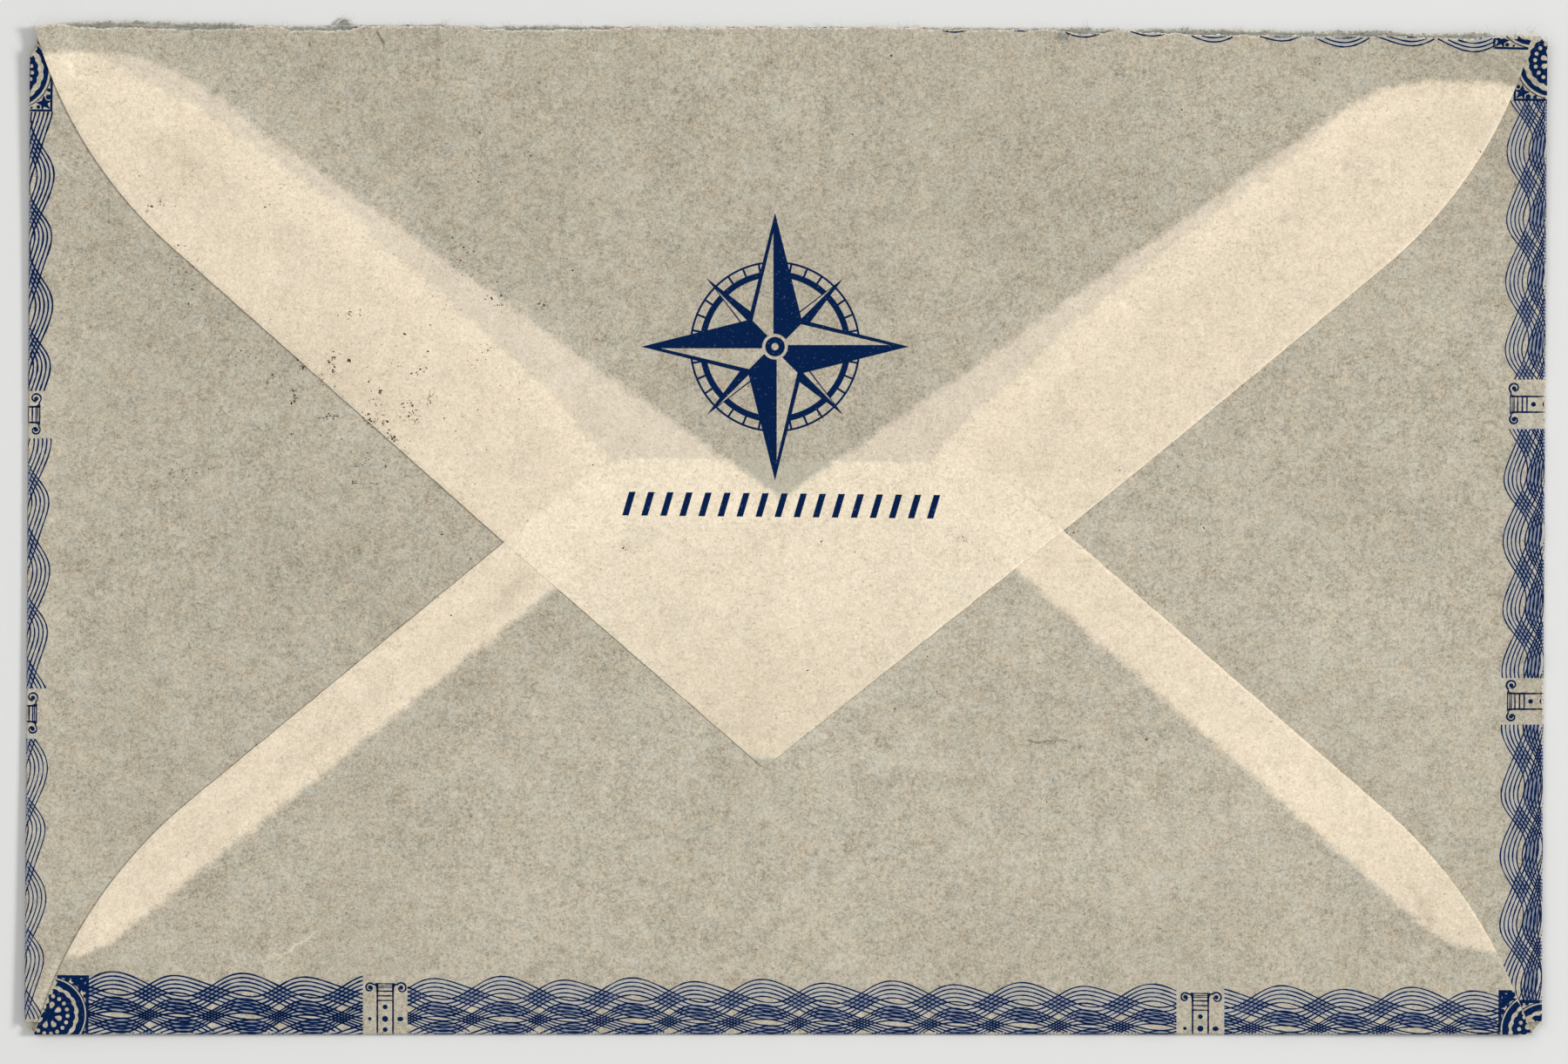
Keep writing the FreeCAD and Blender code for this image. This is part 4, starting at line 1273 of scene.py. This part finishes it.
FIBRE_STEPS = 6


def grow_fibres(material):
    """Loose paper fibres along the torn edges and the worn corners."""
    rng = np.random.default_rng(71)
    points, faces, count = [], [], 0
    corners = [(inset(side, y, 0.2), y, 0.25, math.atan2(y, side * 49.0))
               for side in (-1, 1) for y in (NIP, FOLD_TOP[side])]
    corners += [(*(TOP[0] + (0.1, 0.0)), TOP_LEVEL - 0.1, 2.4),
                (*(TOP_TORN[0] + (-0.1, 0.9)), TOP_LEVEL - 0.1, 0.8)]
    edges = [(FRONT_TORN, PAPER / 2, 280), (TOP_TORN, TOP_LEVEL - 0.13, 220), (None, 0.0, 130)]
    for edge, level, number in edges:
        for _ in range(number):
            if edge is None:
                x, y, level, heading = corners[int(rng.integers(len(corners)))]
                start = np.array([x, y]) + rng.normal(0, 0.22, 2)
                heading += rng.normal(0, 0.6)
            else:
                i = int(rng.integers(1, len(edge) - 1))
                start = edge[i] - (0, 0.06)
                heading = QUARTER + rng.normal(0, 0.7)
            length = min(0.16 + rng.pareto(2.0) * 0.18, 1.0)
            bend = rng.normal(0, 1.3) / length
            width = rng.uniform(0.013, 0.024)
            spot = np.array([*start, level + lie(*start)])
            climb = rng.normal(0.05, 0.15)
            step = length / FIBRE_STEPS
            for k in range(FIBRE_STEPS + 1):
                size = width * (1 - 0.7 * k / FIBRE_STEPS)
                turn = heading + bend * length * k / FIBRE_STEPS
                across = np.array([-math.sin(turn), math.cos(turn), 0.0]) * size
                up = np.array([0, 0, size * 0.87])
                points += [spot + across, spot - across * 0.5 + up, spot - across * 0.5 - up]
                spot = spot + np.array([math.cos(turn), math.sin(turn), climb]) * step
            for a in range(count, count + 3 * FIBRE_STEPS, 3):
                faces += [(a + i, a + (i + 1) % 3, a + 3 + (i + 1) % 3, a + 3 + i)
                          for i in range(3)]
            last = count + 3 * FIBRE_STEPS
            faces += [(count + 2, count + 1, count), (last, last + 1, last + 2)]
            count = last + 3
    make_piece("torn_fibres", make_mesh("torn_fibres", np.array(points), faces), material)


# ---------------------------------------------------------------------------
# Materials
# ---------------------------------------------------------------------------
def tint(red, green, blue):
    """A colour written as it is seen, 0 to 255, as the linear colour that a shader takes."""
    def linear(value):
        value /= 255
        return value / 12.92 if value <= 0.04045 else ((value + 0.055) / 1.055) ** 2.4
    return (linear(red), linear(green), linear(blue), 1.0)


# The paper: one layer over the front panel, over a side flap, gummed, over the bottom flap
# (plainly, low down, at its notch and over the side flaps too), thinned and torn.
ONE_LAYER, ONE_LAYER_PATCH = tint(183, 175, 156), tint(188, 180, 161)
OVER_SIDE = tint(222, 209, 188)
GUMMED, THICK_GUM, AGED_GUM = tint(232, 217, 192), tint(238, 223, 197), tint(222, 207, 180)
OVER_BOTTOM, OVER_LOW, OVER_NOTCH = tint(235, 221, 196), tint(225, 211, 186), tint(189, 183, 164)
OVER_BOTH, THINNED, THINNED_STREAK = tint(240, 226, 200), tint(140, 140, 130), tint(165, 163, 152)
TORN_RIM = tint(222, 216, 202)
# The printing: tone between lines and where they cross, ink, its patches and its pits.
LINE_TONE, CROSS_TONE = tint(170, 175, 180), tint(62, 84, 128)
NAVY, NAVY_PATCH, NAVY_PIT = tint(1, 28, 68), tint(5, 33, 77), tint(96, 108, 136)


class Nodes:
    """Short ways of adding nodes to a tree."""

    def __init__(self, tree):
        self.tree = tree

    def add(self, kind, **settings):
        node = self.tree.nodes.new(kind)
        for name, value in settings.items():
            setattr(node, name, value)
        return node

    def put(self, socket, value):
        """Links a socket to another, or sets its value."""
        if isinstance(value, bpy.types.NodeSocket):
            self.tree.links.new(value, socket)
        else:
            socket.default_value = value

    def maths(self, operation, first, second=None, third=None):
        node = self.add("ShaderNodeMath", operation=operation)
        for socket, value in zip(node.inputs, (first, second, third)):
            if value is not None:
                self.put(socket, value)
        return node.outputs[0]

    def step(self, value, low, high):
        """A smooth rise from 0 at low to 1 at high."""
        node = self.add("ShaderNodeMapRange", interpolation_type="SMOOTHSTEP")
        self.put(node.inputs["Value"], value)
        self.put(node.inputs["From Min"], low)
        self.put(node.inputs["From Max"], high)
        return node.outputs["Result"]

    def blend(self, share, first, second, how="MIX"):
        """A colour from the first at share 0 to the second at share 1."""
        node = self.add("ShaderNodeMix", data_type="RGBA", blend_type=how)
        self.put(node.inputs[0], share)
        self.put(node.inputs[6], first)
        self.put(node.inputs[7], second)
        return node.outputs[2]

    def noise(self, vector, size, detail=2.0, rough=0.5, warp=0.0):
        """Noise with features of a size in millimetres, about 0.5 in the middle."""
        node = self.add("ShaderNodeTexNoise", normalize=True)
        self.put(node.inputs["Vector"], vector)
        node.inputs["Scale"].default_value = 1 / (size * MM)
        node.inputs["Detail"].default_value = detail
        node.inputs["Roughness"].default_value = rough
        node.inputs["Distortion"].default_value = warp
        return node.outputs["Fac"]

    def place_group(self, group, **inputs):
        """A group with its inputs put in, named by their labels with low lines for spaces."""
        node = self.add("ShaderNodeGroup", node_tree=group)
        for label, value in inputs.items():
            self.put(node.inputs[label.replace("_", " ")], value)
        return node.outputs

    def value(self, name):
        """A value that the mesh carries."""
        return self.add("ShaderNodeAttribute", attribute_name=name).outputs["Fac"]


def new_group(name, inputs, outputs):
    """A node group with its named sockets, as a dictionary of labels and kinds each way."""
    group = bpy.data.node_groups.new(name, "ShaderNodeTree")
    for way, sockets in (("INPUT", inputs), ("OUTPUT", outputs)):
        for label, kind in sockets.items():
            group.interface.new_socket(label, in_out=way, socket_type="NodeSocket" + kind)
    return group, group.nodes.new("NodeGroupInput"), group.nodes.new("NodeGroupOutput")


def layers_group():
    """Colour of the thin paper by what lies under it."""
    group, ins, outs = new_group(
        "layers_under", {"On Sides": "Float", "On Bottom": "Float", "Gum": "Float",
                         "Torn": "Float", "Thin": "Float", "Place": "Vector"},
        {"Color": "Color", "Layers": "Float"})
    n = Nodes(group)
    sides, bottom, gum, torn, thin, place = (ins.outputs[i] for i in range(6))
    # The edges beneath show a little frayed.
    fray = n.maths("SUBTRACT", n.noise(place, 0.9, 3.0, 0.6), 0.5)
    sides = n.maths("MULTIPLY_ADD", fray, 0.8, sides)
    bottom = n.maths("MULTIPLY_ADD", fray, 0.5, bottom)
    gum = n.maths("MULTIPLY_ADD", fray, 1.6, gum)
    on_side = n.step(sides, -0.5, 0.5)
    on_bottom = n.step(bottom, -0.2, 0.15)
    gummed = n.step(gum, -0.5, 0.5)
    # The gum is thickest beside its inner edge, and ends more sharply towards the left.
    along = n.add("ShaderNodeSeparateXYZ")
    n.put(along.inputs[0], place)
    crisp = n.maths("MULTIPLY", n.step(along.outputs[0], -0.0625, -0.0605),
                    n.step(along.outputs[0], -0.046, -0.050))
    thick_gum = n.maths("MULTIPLY", n.step(gum, 4.6, 1.6), n.maths("SUBTRACT", 1.0, crisp))
    thick_gum = n.maths("MULTIPLY_ADD", n.step(gum, 3.95, 3.55), crisp, thick_gum)
    thick_gum = n.maths("MULTIPLY", gummed, thick_gum)

    plain = n.blend(n.step(n.noise(place, 24.0, 2.0), 0.35, 0.65), ONE_LAYER, ONE_LAYER_PATCH)
    glued = n.blend(thick_gum, GUMMED, THICK_GUM)
    aged = n.maths("MULTIPLY", n.step(n.noise(place, 9.0, 3.0), 0.45, 0.75), 0.3)
    over_side = n.blend(gummed, OVER_SIDE, n.blend(aged, glued, AGED_GUM))
    colour = n.blend(on_side, plain, over_side)
    # Over the bottom flap: darker far from the side flaps and in the notch between all three.
    middle = n.blend(n.step(sides, -4.0, -20.0), OVER_BOTTOM, OVER_LOW)
    notch = n.maths("MULTIPLY", n.step(n.maths("ADD", bottom, sides), 4.4, 3.4),
                    n.step(sides, 1.0, -0.5))
    middle = n.blend(notch, middle, OVER_NOTCH)
    colour = n.blend(on_bottom, colour, n.blend(on_side, middle, OVER_BOTH))
    # Near the slit the front panel is thinned in streaks, and the tear has a pale ragged rim.
    streak = n.add("ShaderNodeMapping", vector_type="TEXTURE")
    n.put(streak.inputs["Vector"], place)
    streak.inputs["Scale"].default_value = (6.0, 1.0, 1.0)
    streaks = n.step(n.noise(streak.outputs[0], 0.25, 2.0), 0.35, 0.65)
    colour = n.blend(thin, colour, n.blend(streaks, THINNED, THINNED_STREAK))
    ragged = n.step(n.noise(place, 0.4, 2.0), 0.32, 0.5)
    colour = n.blend(n.maths("MULTIPLY", torn, n.maths("MULTIPLY", ragged, 0.95)), colour,
                     TORN_RIM)
    n.put(outs.inputs["Color"], colour)
    n.put(outs.inputs["Layers"], n.maths("MAXIMUM", on_side, on_bottom))
    return group


def formation_group():
    """The cloudy, fibrous look of thin paper, and the paleness of bruised creases, with painted
    shade in folds and painted highlights on rims.
    """
    group, ins, outs = new_group(
        "paper_formation", {"Color": "Color", "Layers": "Float", "Pale": "Float",
                            "Place": "Vector"},
        {"Color": "Color", "Height": "Float", "Roughness": "Float"})
    n = Nodes(group)
    colour, layers, pale, place = (ins.outputs[i] for i in range(4))
    # Clouds of several sizes, then strands that lie three ways.
    total = 0.0
    for size, detail, strength in ((0.155, 1.0, 0.46), (0.33, 1.0, 0.38), (0.9, 1.0, 0.22),
                                   (2.6, 1.0, 0.16), (9.0, 1.0, 0.10), (26.0, 1.0, 0.05)):
        wool = n.maths("SUBTRACT", n.noise(place, size, detail, 0.5, 0.5), 0.5)
        total = n.maths("MULTIPLY_ADD", wool, strength, total)
    fibre = 0.0
    for turn in (0.5, 1.6, 2.7):
        lie_of = n.add("ShaderNodeMapping", vector_type="TEXTURE")
        n.put(lie_of.inputs["Vector"], place)
        lie_of.inputs["Rotation"].default_value = (0, 0, turn)
        lie_of.inputs["Scale"].default_value = (4.0, 1.0, 1.0)
        strand = n.noise(lie_of.outputs[0], 0.16, 0.0)
        fibre = n.maths("ADD", fibre, n.step(strand, 0.66, 0.82))
        fibre = n.maths("SUBTRACT", fibre, n.step(strand, 0.33, 0.2))
    total = n.maths("MULTIPLY_ADD", fibre, 0.06, total)
    # Layers beneath calm the clouds; pinholes come on top, then the paleness of bruised creases,
    # painted shade in folds and painted highlights on rims.
    calm = n.maths("MULTIPLY_ADD", layers, -0.46, 0.97)
    shift = n.maths("MULTIPLY", total, calm)
    shift = n.maths("MULTIPLY", shift, n.maths("MULTIPLY_ADD", shift, -1.3, 1.0))
    pit = n.step(n.noise(place, 0.28, 1.0, 0.5), 0.36, 0.24)
    shift = n.maths("MULTIPLY_ADD", pit, -0.13, shift)
    shift = n.maths("ADD", n.maths("ADD", shift, 1.0), pale)
    # Single paper also wavers between warm and cool.
    hue = n.maths("MULTIPLY", n.maths("SUBTRACT", n.noise(place, 1.3, 2.0, 0.6), 0.5),
                  n.maths("MULTIPLY_ADD", layers, -0.8, 1.0))
    shades = n.add("ShaderNodeCombineColor")
    for i, (strength, cooler) in enumerate(((1.98, -0.18), (2.05, -0.03), (2.2, 0.15))):
        n.put(shades.inputs[i], n.maths("MULTIPLY", n.maths("POWER", shift, strength),
                                        n.maths("MULTIPLY_ADD", hue, cooler, 1.0)))
    toned = n.blend(1.0, colour, shades.outputs[0], "MULTIPLY")
    n.put(outs.inputs["Color"], toned)
    n.put(outs.inputs["Height"], total)
    n.put(outs.inputs["Roughness"], n.maths("MULTIPLY_ADD", n.noise(place, 1.2, 2.0), 0.22, 0.6))
    return group


def between_lines_group():
    """Paper between close printed lines, which takes some of their ink."""
    group, ins, outs = new_group("between_lines", {"Color": "Color", "Tone": "Float"},
                                 {"Color": "Color"})
    n = Nodes(group)
    colour, tone = ins.outputs[0], ins.outputs[1]
    once = n.maths("MULTIPLY", n.maths("MINIMUM", tone, 1.0), 0.75)
    twice = n.maths("MULTIPLY", n.step(tone, 1.0, 1.9), 0.62)
    n.put(outs.inputs["Color"],
          n.blend(twice, n.blend(once, colour, LINE_TONE), CROSS_TONE))
    return group


def mottle_group():
    """Two close colours in soft patches."""
    group, ins, outs = new_group(
        "soft_mottle", {"First": "Color", "Second": "Color", "Scale": "Float",
                        "Place": "Vector"}, {"Color": "Color"})
    n = Nodes(group)
    cloud = n.noise(ins.outputs[3], 1.0, 2.0)
    n.put(cloud.node.inputs["Scale"], ins.outputs[2])
    n.put(outs.inputs["Color"], n.blend(cloud, ins.outputs[0], ins.outputs[1]))
    return group


LAYERS, FORMATION = layers_group(), formation_group()
BETWEEN_LINES, MOTTLE = between_lines_group(), mottle_group()


def new_material(name, roughness, specular):
    """A material with its roughness and shine, and the place on the envelope."""
    material = bpy.data.materials.new(name)
    material.use_nodes = True
    n = Nodes(material.node_tree)
    shader = material.node_tree.nodes["Principled BSDF"]
    shader.inputs["Roughness"].default_value = roughness
    shader.inputs["Specular IOR Level"].default_value = specular
    place = n.add("ShaderNodeTexCoord").outputs["Object"]
    return material, n, shader, place


def bump(n, shader, height, millimetres):
    """Relief of a depth."""
    node = n.add("ShaderNodeBump")
    node.inputs["Distance"].default_value = millimetres * MM
    n.put(node.inputs["Height"], height)
    n.put(shader.inputs["Normal"], node.outputs["Normal"])


def mottled(n, place, size, first, second):
    """A colour in patches of about a size, in millimetres."""
    return n.place_group(MOTTLE, First=first, Second=second, Scale=1 / (size * MM),
                         Place=place)["Color"]


def paper_material(name):
    """Thin paper: what lies under it, its own cloudiness and the tone between close lines."""
    material, n, shader, place = new_material(name, 0.7, 0.25)
    layers = n.place_group(
        LAYERS, On_Sides=n.value("on_sides"), On_Bottom=n.value("on_bottom"), Gum=n.value("gum"),
        Torn=n.value("torn"), Thin=n.value("thin"), Place=place)
    formed = n.place_group(FORMATION, Color=layers["Color"], Layers=layers["Layers"],
                           Pale=n.value("pale"), Place=place)
    inked = n.place_group(BETWEEN_LINES, Color=formed["Color"], Tone=n.value("tone"))
    n.put(shader.inputs["Base Color"], inked["Color"])
    n.put(shader.inputs["Roughness"], formed["Roughness"])
    bump(n, shader, formed["Height"], 0.02)
    return material


def ink_material():
    """Flat navy printing ink with pits where the paper's fibres lift it."""
    material, n, shader, place = new_material("navy_printing_ink", 0.6, 0.03)
    pits = n.step(n.noise(place, 0.22, 1.0, 0.5), 0.66, 0.76)
    colour = n.blend(n.maths("MULTIPLY", pits, 0.5), mottled(n, place, 6.0, NAVY, NAVY_PATCH),
                     NAVY_PIT)
    n.put(shader.inputs["Base Color"], colour)
    bump(n, shader, n.noise(place, 0.25, 2.0), 0.006)
    return material


def speck_material():
    """Ink that has dried brown-black."""
    material, n, shader, place = new_material("dried_black_ink", 0.6, 0.3)
    n.put(shader.inputs["Base Color"], mottled(n, place, 0.2, tint(46, 38, 30), tint(98, 84, 68)))
    bump(n, shader, n.noise(place, 0.12, 2.0), 0.006)
    return material


def fibre_material():
    """Loose fibres, which are plainer and paler than the sheet."""
    material, n, shader, place = new_material("loose_paper_fibre", 0.8, 0.2)
    n.put(shader.inputs["Base Color"],
          mottled(n, place, 0.5, tint(222, 214, 196), tint(176, 168, 150)))
    return material


def floor_material():
    """A pale, dull ground."""
    material, n, shader, place = new_material("pale_floor", 0.85, 0.2)
    n.put(shader.inputs["Base Color"],
          mottled(n, place, 60.0, tint(226, 226, 224), tint(229, 229, 228)))
    return material


# ---------------------------------------------------------------------------
# The pieces
# ---------------------------------------------------------------------------
SHEET_PAPER, FLAP_PAPER = paper_material("thin_sheet_paper"), paper_material("thin_flap_paper")
finish_paper(build_envelope_paper(), "folded_sheet", SHEET_PAPER, "envelope_body")
finish_paper(build_flap_paper(), "pointed_flap", FLAP_PAPER, "top_flap")
bend_tongue(SHEET_PAPER)
INK = ink_material()
draw_borders(INK, SHEET_PAPER)
draw_corners(INK)
draw_front_top_border(INK)
draw_flap_border(INK, FLAP_PAPER)
draw_emblem(INK)
scatter_specks(speck_material())
grow_fibres(fibre_material())


# ---------------------------------------------------------------------------
# Floor, light and camera
# ---------------------------------------------------------------------------
FLOOR_REACH, FLOOR_GAP = 2500.0, 0.02
CAMERA_X, CAMERA_Y, CAMERA_HEIGHT, FIELD_WIDTH, SENSOR = -0.18, -0.30, 1500.0, 152.4, 36.0


def make_floor():
    """A plain pale floor, a hair below the paper."""
    corners = np.array([(-1, -1, 0), (1, -1, 0), (1, 1, 0), (-1, 1, 0)]) * FLOOR_REACH
    floor = bpy.data.objects.new("floor", make_mesh("floor", corners, [(0, 1, 2, 3)]))
    floor.data.materials.append(floor_material())
    floor.location.z = -FLOOR_GAP * MM
    bpy.context.scene.collection.objects.link(floor)


def add_lamp(name, place, size, power):
    """A round soft lamp that looks at the envelope; place and size in metres, power in watts."""
    lamp = bpy.data.lights.new(name, "AREA")
    lamp.shape = "DISK"
    lamp.size = size
    lamp.energy = power
    holder = bpy.data.objects.new(name, lamp)
    holder.location = place
    holder.rotation_euler = (-Vector(place)).to_track_quat("-Z", "Y").to_euler()
    bpy.context.scene.collection.objects.link(holder)


def light_the_scene():
    """Even white light all round, with a low key from the right and a fill."""
    world = bpy.data.worlds.new("plain_studio")
    bpy.context.scene.world = world
    world.use_nodes = True
    world.node_tree.nodes["Background"].inputs["Color"].default_value = (1, 1, 1, 1)
    world.node_tree.nodes["Background"].inputs["Strength"].default_value = 0.5
    add_lamp("key_lamp", (2.25, 0.3, 1.5), 0.7, 50.0)
    add_lamp("fill_lamp", (-1.2, 0.9, 2.4), 1.6, 12.0)


def place_camera():
    """Straight above, at a long focal length."""
    data = bpy.data.cameras.new("view")
    data.sensor_width = SENSOR
    data.lens = SENSOR * CAMERA_HEIGHT / FIELD_WIDTH
    data.clip_start, data.clip_end = 0.05, 20.0
    data.dof.use_dof = False
    camera = bpy.data.objects.new("camera", data)
    camera.location = (CAMERA_X * MM, CAMERA_Y * MM, CAMERA_HEIGHT * MM)
    bpy.context.scene.collection.objects.link(camera)
    bpy.context.scene.camera = camera


make_floor()
light_the_scene()
place_camera()
bpy.context.scene.view_settings.view_transform = "Standard"
